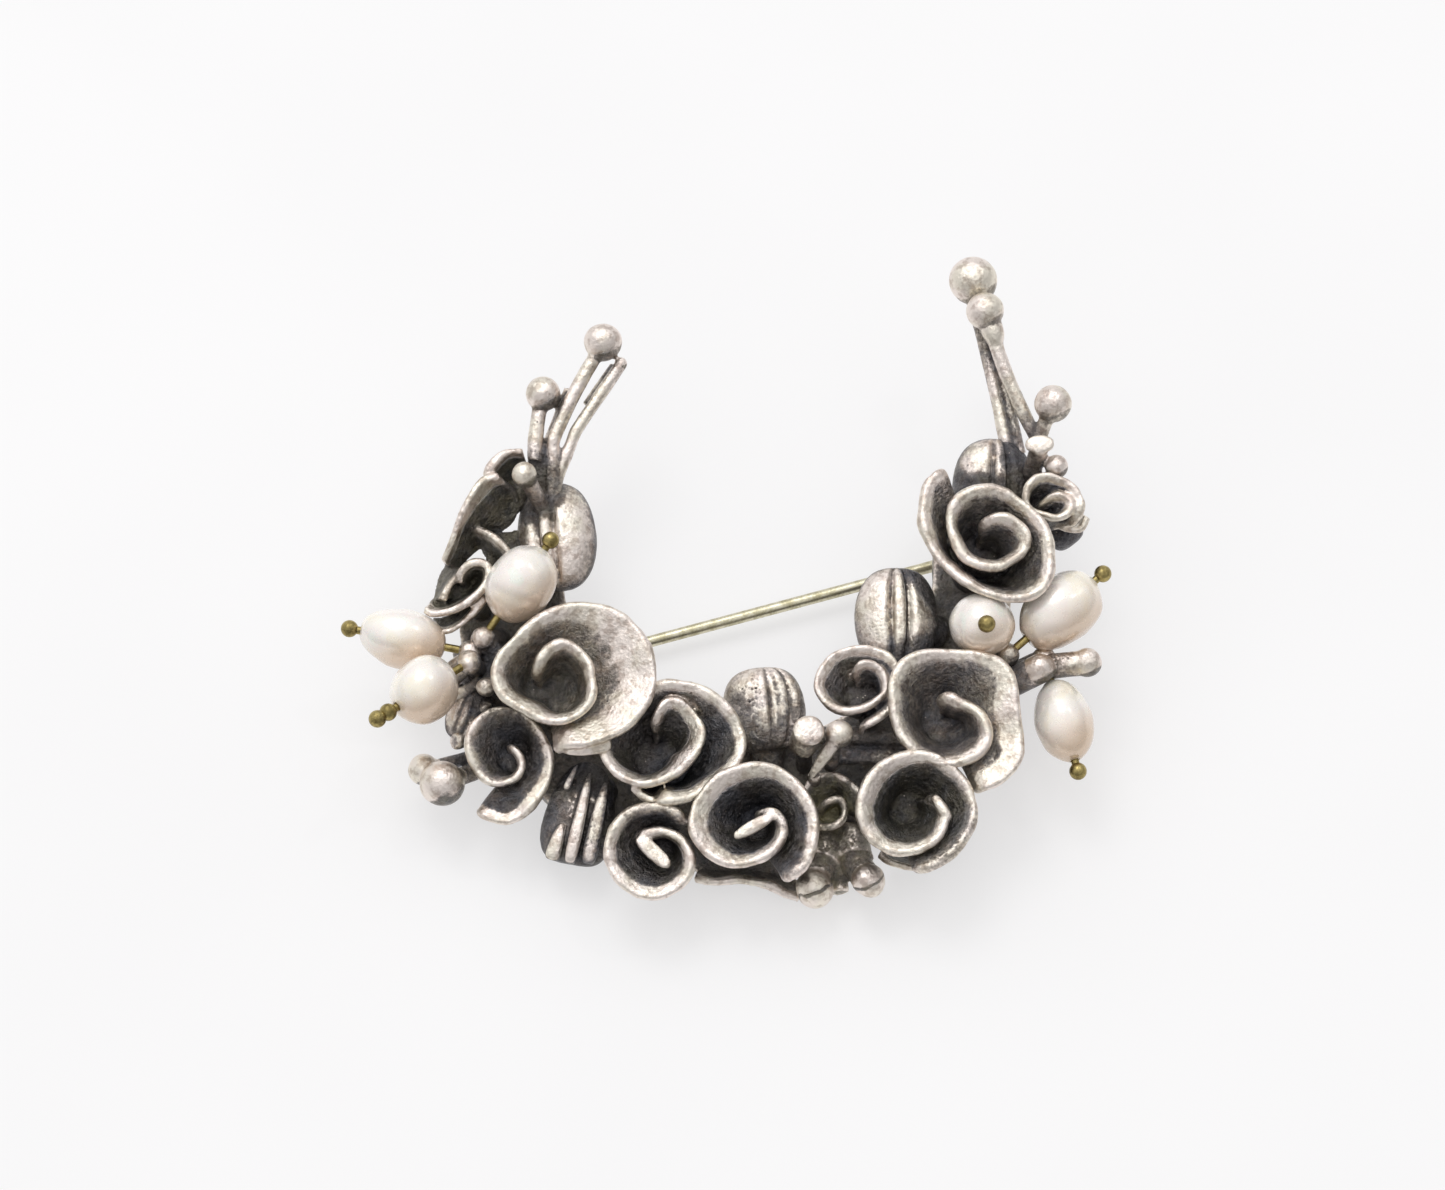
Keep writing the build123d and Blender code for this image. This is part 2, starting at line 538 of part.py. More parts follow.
def pieces():
    """Every piece of the brooch by its name, as it rests."""
    made = {"silver_cluster": silver_cluster(), "pin_stem": pin_stem(), "hinge_rivet": hinge_rivet()}
    for pearl in PEARLS:
        made[f"pearl_{pearl.name}"] = leaned(drilled_pearl(pearl))
        made[f"head_pin_{pearl.name}"] = leaned(head_pin(pearl))
    return made


def main():
    made = pieces()
    box = Compound(children=[Compound(list(piece.solids())) for piece in made.values()]).bounding_box()
    shift = Vector(-(box.min.X + box.max.X) / 2, -(box.min.Y + box.max.Y) / 2, -box.min.Z)
    os.makedirs("parts", exist_ok=True)
    for name, piece in made.items():
        export_step(Pos(shift) * piece, os.path.join("parts", f"{name}.step"))
    print("size", [round(length, 2) for length in box.size], "shift", [round(c, 3) for c in shift])


main()
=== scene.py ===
import json
from collections import namedtuple
from math import atan2, cos, degrees, floor, pi, radians, sin, sqrt

import bpy
import numpy as np
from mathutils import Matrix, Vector


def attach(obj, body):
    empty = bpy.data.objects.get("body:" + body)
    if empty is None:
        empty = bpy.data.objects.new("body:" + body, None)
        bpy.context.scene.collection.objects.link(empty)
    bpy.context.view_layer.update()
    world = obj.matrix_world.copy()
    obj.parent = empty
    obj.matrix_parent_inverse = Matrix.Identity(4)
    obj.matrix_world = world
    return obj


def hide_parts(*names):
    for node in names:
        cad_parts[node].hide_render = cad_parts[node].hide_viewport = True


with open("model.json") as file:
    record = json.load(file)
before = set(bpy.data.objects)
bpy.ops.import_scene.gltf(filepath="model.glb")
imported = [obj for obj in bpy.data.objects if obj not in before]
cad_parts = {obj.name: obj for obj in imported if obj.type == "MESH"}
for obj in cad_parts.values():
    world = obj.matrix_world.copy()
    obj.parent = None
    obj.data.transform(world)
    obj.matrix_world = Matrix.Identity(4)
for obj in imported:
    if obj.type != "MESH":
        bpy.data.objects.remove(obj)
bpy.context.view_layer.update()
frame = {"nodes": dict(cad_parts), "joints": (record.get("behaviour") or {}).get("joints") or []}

# Millimetres, in the frame of the brooch's back plate: the plate's underside is at height 0
# and its front points upwards. placed() takes points from there to the row's own frame.
MM = 0.001
PLATE_OUTER = 21.0
PLATE_INNER = 14.2
PLATE_THICK = 1.3
INNER_ACROSS = 1.0
INNER_AWAY = 3.2
LEFT_END = 172.0
RIGHT_END = 386.0
DEPTH = 10.0
SUNK = 0.35
LEAN_BACK = 10.0
FLOWER_SIZE = 5.0
WALL = 0.74
EIGHTH = 45.0
FIRST_BEARING = -90.0
FLARE = 0.62
CUP = 0.82
WIRE_RADIUS = 0.5
BALL_RADIUS = 1.25

# Pin stem, hinge and catch
STEM_HEADING = 16.1
SWING_LEAN = 35.0
PIVOT = np.array([0.815 * PLATE_OUTER, 0.223 * PLATE_OUTER, 1.82])
CATCH_SPAN = 33.6
CATCH_HEIGHT = 1.35
EYE_THICK = 1.0
EAR_RADIUS = 1.3
EAR_THICK = 0.7
EAR_CLEARANCE = 0.1
EAR_BORE = 0.52
CATCH_WIDTH = 2.4
CATCH_SLOT = 0.65
CATCH_FRONT = 1.25
CATCH_BACK = 1.7

# Pearls
PEARL_SIZE = 5.0
PEARL_BORE = 0.38
POST_RADIUS = 0.7
POST_BEHIND = 0.9
BOSS_RADIUS = 0.9

# The photograph's camera: focal length and sensor width in mm, distance in mm, elevation in
# degrees, the point of the brooch that is in the middle of the picture, and the nearest
# distance that is drawn, in metres
LENS = 85.0
SENSOR = 36.0
CAMERA_DISTANCE = 256.5
CAMERA_ELEVATION = 64.0
LOOK_AT = (-0.9, -0.4, 4.0)
NEAREST = 0.02

# Size of the cells from which the metal's skin is made, in mm, and rounds of smoothing that
# tell its bulges from its hollows
FINE = 0.138
POD_CELL = 0.112
COARSE = 0.20
BULGE_ROUNDS = 14
EAR_CELL = 0.1
CATCH_CELL = 0.12

Flower = namedtuple(
    "Flower", "name across away size rim floor base_across base_away wall start end")
Pod = namedtuple("Pod", "name across away up to_across to_away to_up width thick skew fullness")
Groove = namedtuple("Groove", "pod place width depth")
Leaf = namedtuple("Leaf", "sheet across away up to_across to_away to_up shine")
Blade = namedtuple("Blade", "kind across away up to_across to_away to_up width thick shine")
Rod = namedtuple("Rod", "across away up to_across to_away to_up radius bend", defaults=(0.0,))
Ball = namedtuple("Ball", "across away up radius")
Kind = namedtuple("Kind", "skew fullness square")
Look = namedtuple("Look", "lighter green to_right lit", defaults=(0.0, 0.0, 0.0, 0.5))
Pearl = namedtuple("Pearl", "name across away up length width bearing pitch foot_across foot_away")
Fold = namedtuple("Fold", "pearl across away up to_across to_away to_up width depth")

# Where each flower's rim is centred and where its root stands, as shares of the plate's
# outer radius; its size; its rim and floor heights as shares of the depth; its wall as a
# share of the common wall; the bearings between which its wall is rolled up, which are equal
# where it is made of leaves instead
FLOWERS = [
    Flower("upper_left", -0.83, 0.19, 1.00, 0.65, 0.28, -0.78, 0.09, 0.9, 0, 0),
    Flower("small_left", -0.97, -0.04, 0.54, 0.60, 0.32, -0.90, -0.05, 0.8, 0, 0),
    Flower("large_left", -0.60, -0.37, 1.32, 0.80, 0.36, -0.66, -0.42, 1.0, -92, 520),
    Flower("centre_left", -0.23, -0.59, 1.10, 0.70, 0.33, -0.28, -0.68, 0.9, -100, 478),
    Flower("lowest_middle", 0.08, -0.88, 0.96, 0.75, 0.34, 0.07, -0.83, 0.95, -63, 440),
    Flower("lowest_left", -0.28, -0.99, 0.72, 0.65, 0.34, -0.25, -0.87, 0.9, 47, 500),
    Flower("lower_right", 0.62, -0.84, 0.88, 0.75, 0.32, 0.55, -0.75, 0.95, -84, 385),
    Flower("right_square", 0.76, -0.49, 1.02, 0.75, 0.34, 0.73, -0.47, 0.95, -72, 480),
    Flower("small_centre", 0.43, -0.37, 0.60, 0.60, 0.36, 0.50, -0.46, 0.75, -90, 470),
    Flower("large_right", 0.91, 0.13, 1.06, 0.85, 0.38, 0.84, 0.08, 1.0, 120, 825),
    Flower("small_upper_right", 1.15, 0.30, 0.46, 0.70, 0.40, 0.96, 0.19, 0.7, -30, 505),
    Flower("outer_left", -0.80, -0.64, 0.80, 0.50, 0.26, -0.74, -0.60, 0.85, -122, 455),
    Flower("deep_small", 0.34, -0.80, 0.48, 0.40, 0.22, 0.35, -0.80, 0.75, -2, 540),
]

# Radius of the middle of each flower's wall at every eighth of a turn, from the outer end
# inwards, starting in front and going round by the right, as shares of the flower's size;
# 0 where there is no wall
TURNS = {
    "upper_left": [0, 0, 0, 1.30, 1.10, 0.72, 0.68, 0.92, 0.68],
    "small_left": [1.15, 0.85, 0.78, 1.00, 0.60, 0.85, 0.93, 1.12, 0.59, 0.44],
    "large_left": [
        0.72, 0.88, 1.00, 0.97, 0.80, 0.68, 0.75, 0.55,
        0.49, 0.42, 0.34, 0.36, 0.41, 0.35, 0.30,
    ],
    "centre_left": [
        0.79, 0.79, 1.00, 0.88, 0.82, 0.80, 0.88, 0.72,
        0.47, 0.38, 0.43, 0.51, 0.56, 0.27,
    ],
    "lowest_middle": [
        0, 0.98, 0.86, 0.80, 0.85, 0.91, 0.98, 0.86,
        0.60, 0.45, 0.34, 0.22, 0.11, 0.14, 0.30, 0.44,
    ],
    "lowest_left": [
        0, 0, 0, 0.90, 1.00, 0.99, 0.94, 0.88,
        0.88, 0.84, 0.70, 0.54, 0.46, 0.44, 0.20, 0.19,
        0.31, 0.40,
    ],
    "lower_right": [1.04, 0.95, 1.00, 0.97, 0.92, 0.87, 0.88, 0.83, 0.72, 0.63, 0.53, 0.34],
    "right_square": [
        1.08, 1.20, 0.90, 1.02, 0.88, 0.98, 0.80, 0.76,
        0.76, 0.68, 0.37, 0.19, 0.23, 0.28,
    ],
    "small_centre": [0.99, 0.97, 1.07, 1.07, 0.98, 0.95, 0.97, 0.78, 0.60, 0.58, 0.70, 0.70, 0.50],
    "large_right": [
        0, 0, 0, 0, 0, 1.20, 0.86, 0.72,
        0.79, 0.97, 0.80, 0.69, 0.74, 0.74, 0.51, 0.42,
        0.42, 0.43, 0.50, 0.40, 0.33,
    ],
    "small_upper_right": [
        0, 1.10, 0.91, 0.76, 0.78, 1.00, 1.00, 0.66,
        0.60, 0.63, 0.54, 0.33, 0.27, 0.27,
    ],
    "outer_left": [1.12, 0.84, 0.80, 0.83, 0.98, 0.92, 0.66, 0.52, 0.38, 0.30, 0.25, 0.24, 0.28],
    "deep_small": [
        0, 0, 0.90, 1.00, 1.10, 1.00, 0.78, 0.70,
        0.56, 0.48, 0.44, 0.44, 0.28, 0.28, 0.36,
    ],
}

# How far the wall leans over inside its rim at every eighth of a turn, in the same order, as
# shares of the flower's size; the last share holds for the rest of the wall
LEANS = {
    "large_left": [0.14, 0.34, 0.40, 0.30, 0.09, 0.04, 0.06, 0.16, 0.07, 0.03, 0.03],
    "centre_left": [
        0.10, 0.05, 0.04, 0.03, 0.03, 0.03, 0.05, 0.10,
        0.16, 0.20, 0.16, 0.10, 0.06, 0.04, 0.04,
    ],
    "lowest_middle": [
        0.06, 0.08, 0.10, 0.12, 0.13, 0.17, 0.18, 0.15,
        0.08, 0.04, 0.03, 0.03, 0.04, 0.04,
    ],
    "lowest_left": [
        0.01, 0.01, 0.01, 0.01, 0.01, 0.02, 0.08, 0.12,
        0.14, 0.10, 0.06, 0.03, 0.04, 0.06, 0.06,
    ],
    "lower_right": [0.01, 0.01, 0.02, 0.06, 0.14, 0.22, 0.20, 0.14, 0.08, 0.05, 0.04, 0.04],
    "right_square": [
        0.20, 0.22, 0.28, 0.20, 0.10, 0.08, 0.06, 0.05,
        0.06, 0.05, 0.04, 0.04, 0.05, 0.05,
    ],
    "large_right": [
        0.05, 0.05, 0.05, 0.05, 0.05, 0.06, 0.08, 0.07,
        0.05, 0.04, 0.03, 0.04, 0.05, 0.06, 0.06, 0.06,
        0.06, 0.06, 0.07, 0.07, 0.06, 0.06,
    ],
    "outer_left": [0.30, 0.36, 0.25, 0.12, 0.10, 0.10, 0.10, 0.12, 0.06, 0.04, 0.04],
    "deep_small": [0.01, 0.01],
}
PLAIN_LIP = 0.05

# Width of the polished lip where it isn't the whole of the part that leans
LIPS = {
    "outer_left": [
        0.10, 0.12, 0.10, 0.05, 0.01, 0.01, 0.01, 0.01,
        0.02, 0.03, 0.03, 0.03, 0.04, 0.04,
    ],
    "lowest_middle": [
        0.01, 0.02, 0.045, 0.07, 0.12, 0.17, 0.18, 0.14,
        0.06, 0.03, 0.01, 0.01, 0.02, 0.04, 0.04,
    ],
    "right_square": [
        0.20, 0.22, 0.27, 0.13, 0.03, 0.06, 0.02, 0.02,
        0.03, 0.04, 0.04, 0.03, 0.04, 0.05, 0.05,
    ],
    "lower_right": [0.01, 0.01, 0.01, 0.03, 0.10, 0.17, 0.17, 0.13, 0.07, 0.05, 0.04, 0.04],
    "small_centre": [0.01, 0.01, 0.02, 0.04, 0.05, 0.05],
}

# Ridged pods from tip to tip, with their width and thickness in mm; skew moves the widest
# place towards the second tip, and a low fullness makes the ends blunt
PODS = [
    Pod("upper_left", -0.66, 0.41, 0.31, -0.62, 0.01, 0.31, 6.0, 4.0, 1.0, 0.75),
    Pod("lower_left", -0.51, -0.62, 0.28, -0.58, -0.98, 0.18, 5.4, 3.2, 1.4, 0.55),
    Pod("middle", 0.09, -0.28, 0.30, 0.12, -0.58, 0.27, 6.2, 4.0, 1.0, 0.60),
    Pod("inner_right", 0.58, 0.09, 0.31, 0.58, -0.28, 0.31, 6.3, 4.2, 1.0, 0.70),
    Pod("upper_right", 0.945, 0.58, 0.31, 0.93, 0.22, 0.26, 6.2, 4.2, 1.0, 0.70),
    Pod("outer_left", -0.92, -0.36, 0.33, -0.99, -0.54, 0.30, 2.9, 1.9, 1.0, 0.75),
]

# Grooves that run from tip to tip: where each lies across the pod, from -1 to 1, and its
# width and depth as shares of the pod's half width
GROOVES = [
    Groove("upper_left", -0.54, 0.10, 0.22),
    Groove("upper_left", -0.08, 0.10, 0.24),
    Groove("middle", 0.19, 0.09, 0.22),
    Groove("middle", 0.36, 0.07, 0.12),
    Groove("middle", 0.72, 0.11, 0.22),
    Groove("inner_right", -0.16, 0.09, 0.24),
    Groove("inner_right", 0.32, 0.09, 0.24),
    Groove("upper_right", -0.06, 0.09, 0.24),
    Groove("upper_right", 0.40, 0.09, 0.24),
    Groove("outer_left", -0.30, 0.14, 0.24),
    Groove("outer_left", 0.30, 0.14, 0.24),
]

# How each kind of blade is shaped: above 1 skew moves its widest place towards the second tip,
# and below 1 fullness makes its ends blunt and square makes its section boxy
KINDS = {
    "plate": Kind(1.0, 0.5, 1.0),
    "tongue": Kind(1.0, 0.7, 0.8),
    "bar": Kind(1.8, 0.45, 0.55),
    "disc": Kind(1.0, 1.0, 0.6),
    "lump": Kind(1.0, 1.0, 1.0),
}

# What is soldered on to each piece, or makes it up:
# - leaves are stations of bent sheets, from the bright crest down to the foot, with the width
#   of the polished crest in mm
# - blades are flat tongues, raised bars, discs and lumps from tip to tip, with their width and
#   thickness in mm and how bright their backs are
# - rods are wires from the free end to the foot, with their radius as a share of the common
#   wire's and how far they bend sideways at the middle, as a share of their length
# - balls are melted on the free ends of wires
PARTS = {
    "flower_upper_left": [
        Leaf("top", -0.76, 0.49, 0.60, -0.74, 0.44, 0.40, 0.25),
        Leaf("top", -0.82, 0.48, 0.62, -0.78, 0.43, 0.36, 0.30),
        Leaf("top", -0.87, 0.43, 0.62, -0.82, 0.40, 0.36, 0.30),
        Leaf("top", -0.89, 0.39, 0.60, -0.85, 0.37, 0.36, 0.20),
        Leaf("main", -0.84, 0.39, 0.64, -0.79, 0.36, 0.50, 0.40),
        Leaf("main", -0.90, 0.37, 0.66, -0.78, 0.33, 0.40, 0.90),
        Leaf("main", -0.94, 0.31, 0.67, -0.80, 0.27, 0.32, 0.65),
        Leaf("main", -0.98, 0.23, 0.64, -0.87, 0.22, 0.28, 0.40),
        Leaf("main", -1.01, 0.15, 0.58, -0.94, 0.16, 0.28, 0.35),
        Leaf("main", -1.04, 0.09, 0.50, -1.01, 0.08, 0.30, 0.30),
        Leaf("inner", -0.93, 0.22, 0.46, -0.90, 0.15, 0.28, 0.10),
        Leaf("inner", -0.86, 0.18, 0.50, -0.84, 0.10, 0.28, 0.20),
        Leaf("inner", -0.79, 0.11, 0.48, -0.79, 0.05, 0.28, 0.10),
        Blade("lump", -0.772, 0.45, 0.38, -0.80, 0.29, 0.34, 1.6, 1.6, 0.0),
    ],
    "flower_small_left": [
        Leaf("loop", -0.98, 0.00, 0.56, -0.96, 0.01, 0.38, 0.0),
        Leaf("loop", -0.97, 0.04, 0.59, -0.95, 0.04, 0.36, 0.10),
        Leaf("loop", -0.93, 0.07, 0.61, -0.94, 0.05, 0.36, 0.30),
        Leaf("loop", -0.88, 0.06, 0.61, -0.92, 0.05, 0.36, 0.30),
        Leaf("loop", -0.88, 0.00, 0.61, -0.92, 0.03, 0.36, 0.35),
        Leaf("loop", -0.93, -0.06, 0.60, -0.95, 0.00, 0.36, 0.40),
        Leaf("loop", -1.00, -0.10, 0.58, -1.01, -0.03, 0.38, 0.45),
        Leaf("loop", -1.07, -0.11, 0.56, -1.06, -0.05, 0.42, 0.60),
        Leaf("loop", -1.10, -0.09, 0.54, -1.08, -0.04, 0.44, 0.60),
        Leaf("slope", -0.96, 0.05, 0.56, -1.03, 0.10, 0.38, 0.0),
        Leaf("slope", -1.01, 0.00, 0.56, -1.06, 0.045, 0.36, 0.0),
        Leaf("slope", -1.04, -0.06, 0.55, -1.07, -0.045, 0.42, 0.0),
        Leaf("second", -0.89, -0.04, 0.50, -0.91, 0.01, 0.30, 0.30),
        Leaf("second", -0.94, -0.11, 0.50, -0.97, -0.05, 0.30, 0.35),
        Leaf("second", -1.01, -0.16, 0.48, -1.03, -0.09, 0.32, 0.35),
        Leaf("second", -1.07, -0.16, 0.46, -1.08, -0.10, 0.34, 0.25),
        Blade("plate", -1.03, 0.04, 0.34, -0.96, -0.06, 0.34, 3.0, 2.0, 0.0),
    ],
    "flower_centre_left": [
        Leaf("under", -0.36, -0.743, 0.60, -0.34, -0.70, 0.35, 0.30),
        Leaf("under", -0.30, -0.785, 0.58, -0.28, -0.72, 0.35, 0.45),
        Leaf("under", -0.22, -0.79, 0.58, -0.21, -0.72, 0.35, 0.45),
        Leaf("under", -0.12, -0.755, 0.58, -0.15, -0.70, 0.35, 0.35),
    ],
    "flower_lower_right": [
        Leaf("under", 0.51, -0.95, 0.28, 0.53, -0.92, 0.15, 0.10),
        Leaf("under", 0.55, -0.99, 0.36, 0.57, -0.94, 0.16, 0.20),
        Leaf("under", 0.65, -1.02, 0.46, 0.65, -0.95, 0.20, 0.22),
        Leaf("under", 0.74, -0.99, 0.52, 0.73, -0.93, 0.20, 0.20),
        Blade("plate", 0.69, -0.785, 0.70, 0.745, -0.875, 0.72, 0.85, 0.9, 1.0),
    ],
    "flower_small_upper_right": [
        Leaf("second", 1.14, 0.25, 0.50, 1.15, 0.31, 0.34, 0.30),
        Leaf("second", 1.19, 0.215, 0.50, 1.18, 0.29, 0.34, 0.55),
        Leaf("second", 1.24, 0.215, 0.50, 1.22, 0.29, 0.34, 0.60),
        Leaf("second", 1.265, 0.26, 0.50, 1.24, 0.31, 0.34, 0.40),
        Blade("plate", 1.16, 0.29, 0.24, 1.23, 0.20, 0.20, 3.0, 3.0, 0.0),
    ],
    "flower_lowest_middle": [
        Blade("tongue", -0.005, -0.935, 0.71, 0.14, -0.855, 0.73, 1.0, 0.50, 0.9),
    ],
    "flower_lowest_left": [
        Blade("tongue", -0.34, -0.925, 0.62, -0.225, -1.03, 0.62, 1.25, 0.50, 0.85),
    ],
    "flower_large_left": [
        Blade("plate", -0.61, -0.60, 0.68, -0.43, -0.595, 0.71, 1.9, 0.90, 1.0),
    ],
    "pod_lower_left": [
        Blade("bar", -0.554, -0.644, 0.42, -0.595, -0.735, 0.42, 0.5, 0.9, 0.4),
        Blade("bar", -0.605, -0.85, 0.37, -0.645, -0.975, 0.31, 1.15, 1.2, 0.65),
        Blade("bar", -0.509, -0.673, 0.43, -0.579, -0.994, 0.35, 1.0, 1.4, 0.65),
        Blade("bar", -0.453, -0.706, 0.41, -0.516, -0.992, 0.33, 1.15, 1.4, 0.65),
        Rod(-0.53, -0.80, 0.32, -0.47, -0.70, 0.08, 2.60),
    ],
    "pod_middle": [
        Rod(0.11, -0.44, 0.30, 0.12, -0.62, 0.08, 2.60),
    ],
    "pod_inner_right": [
        Rod(0.58, -0.10, 0.30, 0.74, -0.12, 0.08, 2.60),
    ],
    "pod_outer_left": [
        Rod(-0.97, -0.44, 0.28, -0.84, -0.42, 0.08, 1.60),
    ],
    "wires_upper_left": [
        Rod(-0.475, 0.90, 0.60, -0.655, 0.54, 0.51, 1.10, 0.03),
        Rod(-0.655, 0.54, 0.51, -0.655, 0.31, 0.40, 1.00),
        Rod(-0.412, 0.835, 0.53, -0.576, 0.58, 0.50, 0.95),
        Rod(-0.576, 0.58, 0.50, -0.64, 0.41, 0.44, 0.95),
        Rod(-0.64, 0.41, 0.44, -0.66, 0.25, 0.38, 0.95),
        Rod(-0.44, 0.84, 0.48, -0.54, 0.69, 0.46, 0.55),
        Rod(-0.69, 0.73, 0.55, -0.72, 0.47, 0.50, 1.15, 0.03),
        Rod(-0.60, 0.75, 0.46, -0.675, 0.54, 0.44, 0.85),
        Rod(-0.675, 0.55, 0.44, -0.675, 0.32, 0.34, 0.85),
        Rod(-0.695, 0.51, 0.47, -0.70, 0.25, 0.30, 0.95),
        Rod(-0.72, 0.49, 0.46, -0.73, 0.20, 0.20, 1.10),
        Rod(-0.67, 0.42, 0.34, -0.70, 0.14, 0.10, 2.00),
        Rod(-0.74, 0.37, 0.72, -0.69, 0.30, 0.42, 1.30),
        Ball(-0.476, 0.907, 0.60, 1.16),
        Ball(-0.412, 0.838, 0.53, 0.40),
        Ball(-0.692, 0.718, 0.55, 1.06),
        Ball(-0.75, 0.38, 0.75, 0.76),
    ],
    "wires_upper_right": [
        Blade("disc", 1.037, 0.489, 0.75, 1.143, 0.494, 0.77, 1.45, 0.5, 0.8),
        Blade("lump", 0.905, 1.045, 0.65, 0.957, 0.885, 0.60, 1.75, 1.75, 0.0),
        Rod(0.865, 1.12, 0.50, 0.994, 0.52, 0.34, 1.0, -0.01),
        Rod(0.895, 1.10, 0.50, 1.040, 0.52, 0.34, 0.9, -0.01),
        Rod(0.93, 0.96, 0.625, 1.11, 0.54, 0.42, 1.10, 0.03),
        Rod(1.15, 0.66, 0.60, 1.09, 0.50, 0.36, 1.15, 0.05),
        Rod(1.09, 0.485, 0.74, 1.07, 0.42, 0.30, 1.45),
        Rod(1.155, 0.43, 0.62, 1.12, 0.36, 0.30, 1.30),
        Rod(1.15, 0.30, 0.42, 0.96, 0.28, 0.14, 1.60),
        Ball(0.875, 1.165, 0.50, 1.50),
        Ball(0.91, 1.02, 0.65, 1.14),
        Ball(1.15, 0.671, 0.60, 1.14),
        Ball(1.155, 0.43, 0.62, 0.72),
    ],
    "wires_far_right": [
        Rod(1.08, -0.31, 0.55, 0.88, -0.38, 0.24, 2.20),
        Rod(1.25, -0.28, 0.50, 1.12, -0.29, 0.45, 1.90),
        Rod(1.12, -0.29, 0.45, 0.90, -0.30, 0.10, 2.00),
        Ball(1.08, -0.31, 0.55, 0.88),
        Ball(1.25, -0.28, 0.50, 0.88),
    ],
    "wires_lower_left": [
        Rod(-1.03, -0.71, 0.40, -0.84, -0.60, 0.12, 1.40),
        Rod(-1.10, -0.65, 0.30, -0.86, -0.56, 0.12, 1.10),
        Ball(-1.03, -0.71, 0.40, 1.36),
        Ball(-1.10, -0.65, 0.30, 0.96),
    ],
    "wires_far_left": [
        Rod(-0.90, -0.18, 0.50, -0.85, -0.24, 0.30, 1.70),
        Rod(-0.88, -0.36, 0.46, -0.86, -0.30, 0.30, 1.20),
        Rod(-0.86, -0.20, 0.36, -0.84, -0.40, 0.08, 2.60),
        Rod(-1.00, -0.33, 0.36, -0.92, -0.27, 0.44, 0.90),
        Rod(-1.02, -0.28, 0.32, -0.93, -0.24, 0.42, 0.80),
        Rod(-1.03, -0.42, 0.32, -0.90, -0.34, 0.42, 1.00),
        Rod(-0.98, -0.36, 0.30, -0.88, -0.44, 0.34, 1.20),
        Rod(-0.96, -0.20, 0.24, -0.90, -0.44, 0.20, 2.20),
        Rod(-0.99, -0.55, 0.35, -0.82, -0.48, 0.08, 1.20),
        Ball(-0.88, -0.37, 0.48, 0.55),
    ],
    "wires_centre": [
        Blade("bar", 0.259, -0.711, 0.54, 0.360, -0.579, 0.72, 1.05, 0.8, 1.0),
        Blade("disc", 0.202, -0.566, 0.80, 0.312, -0.566, 0.80, 2.3, 0.7, 0.8),
        Rod(0.257, -0.567, 0.79, 0.235, -0.60, 0.62, 2.15),
        Rod(0.24, -0.59, 0.66, 0.25, -0.62, 0.08, 1.30),
        Rod(0.36, -0.58, 0.68, 0.34, -0.64, 0.30, 1.00),
        Rod(0.28, -0.69, 0.50, 0.28, -0.72, 0.08, 1.00),
        Rod(0.30, -0.53, 0.36, 0.70, -0.53, 0.30, 1.40),
        Rod(0.36, -0.60, 0.30, 0.66, -0.60, 0.28, 1.30),
        Ball(0.365, -0.565, 0.70, 0.84),
    ],
    "wires_bottom": [
        Rod(0.28, -1.08, 0.33, 0.32, -0.92, 0.12, 2.20),
        Rod(0.47, -1.06, 0.36, 0.40, -0.92, 0.12, 2.20),
        Rod(0.30, -0.98, 0.20, 0.33, -0.86, 0.10, 3.20),
        Rod(0.42, -0.97, 0.20, 0.40, -0.86, 0.10, 3.20),
        Rod(0.37, -1.08, 0.20, 0.36, -0.94, 0.16, 1.40),
        Ball(0.28, -1.08, 0.35, 1.14),
        Ball(0.47, -1.06, 0.40, 1.02),
    ],
    "back_plate": [
        Leaf("lip", -0.14, -1.03, 0.24, -0.12, -0.97, 0.08, 0.30),
        Leaf("lip", -0.07, -1.05, 0.27, -0.06, -0.98, 0.08, 0.35),
        Leaf("lip", 0.02, -1.04, 0.25, 0.02, -0.98, 0.08, 0.20),
        Leaf("lip", 0.12, -1.06, 0.24, 0.10, -0.99, 0.08, 0.20),
        Leaf("lip", 0.18, -1.09, 0.22, 0.18, -1.01, 0.08, 0.25),
        Leaf("lip", 0.23, -1.10, 0.20, 0.23, -1.03, 0.08, 0.20),
    ],
}

# Pearls: centre; length along the bore and width as shares of the common size; the way the
# bore's outer end points, in degrees; and the foot of its post
PEARLS = [
    Pearl("upper_left", -0.76, 0.00, 0.58, 1.26, 1.00, 55, 10, -0.84, -0.14),
    Pearl("far_left", -1.18, -0.19, 0.46, 1.32, 0.90, 170, 5, -0.88, -0.20),
    Pearl("front_left", -1.09, -0.41, 0.72, 1.10, 1.00, 220, 25, -0.88, -0.30),
    Pearl("inner_right", 0.88, -0.16, 0.62, 1.04, 0.98, 270, 76, 0.88, -0.12),
    Pearl("far_right", 1.16, -0.09, 0.52, 1.38, 1.00, 40, 5, 0.91, -0.22),
    Pearl("low_right", 1.16, -0.49, 0.46, 1.32, 0.88, 284, 5, 0.92, -0.30),
]

# Folds in the pearls, from end to end, with their width and depth in mm
FOLDS = [
    Fold("far_left", -1.36, -0.27, 0.60, -1.15, -0.30, 0.70, 0.55, 0.42),
    Fold("low_right", 1.18, -0.66, 0.52, 1.08, -0.70, 0.46, 0.45, 0.18),
    Fold("upper_left", -0.86, -0.04, 0.74, -0.72, -0.10, 0.74, 0.40, 0.10),
]
# How much plumper than an even pearl some are, in mm
PLUMP = {"far_right": 0.20, "inner_right": 0.08}

TILT = radians(LEAN_BACK)
LIFT = PLATE_OUTER * sin(TILT)
LEANING = np.array([[1, 0, 0], [0, cos(TILT), -sin(TILT)], [0, sin(TILT), cos(TILT)]])
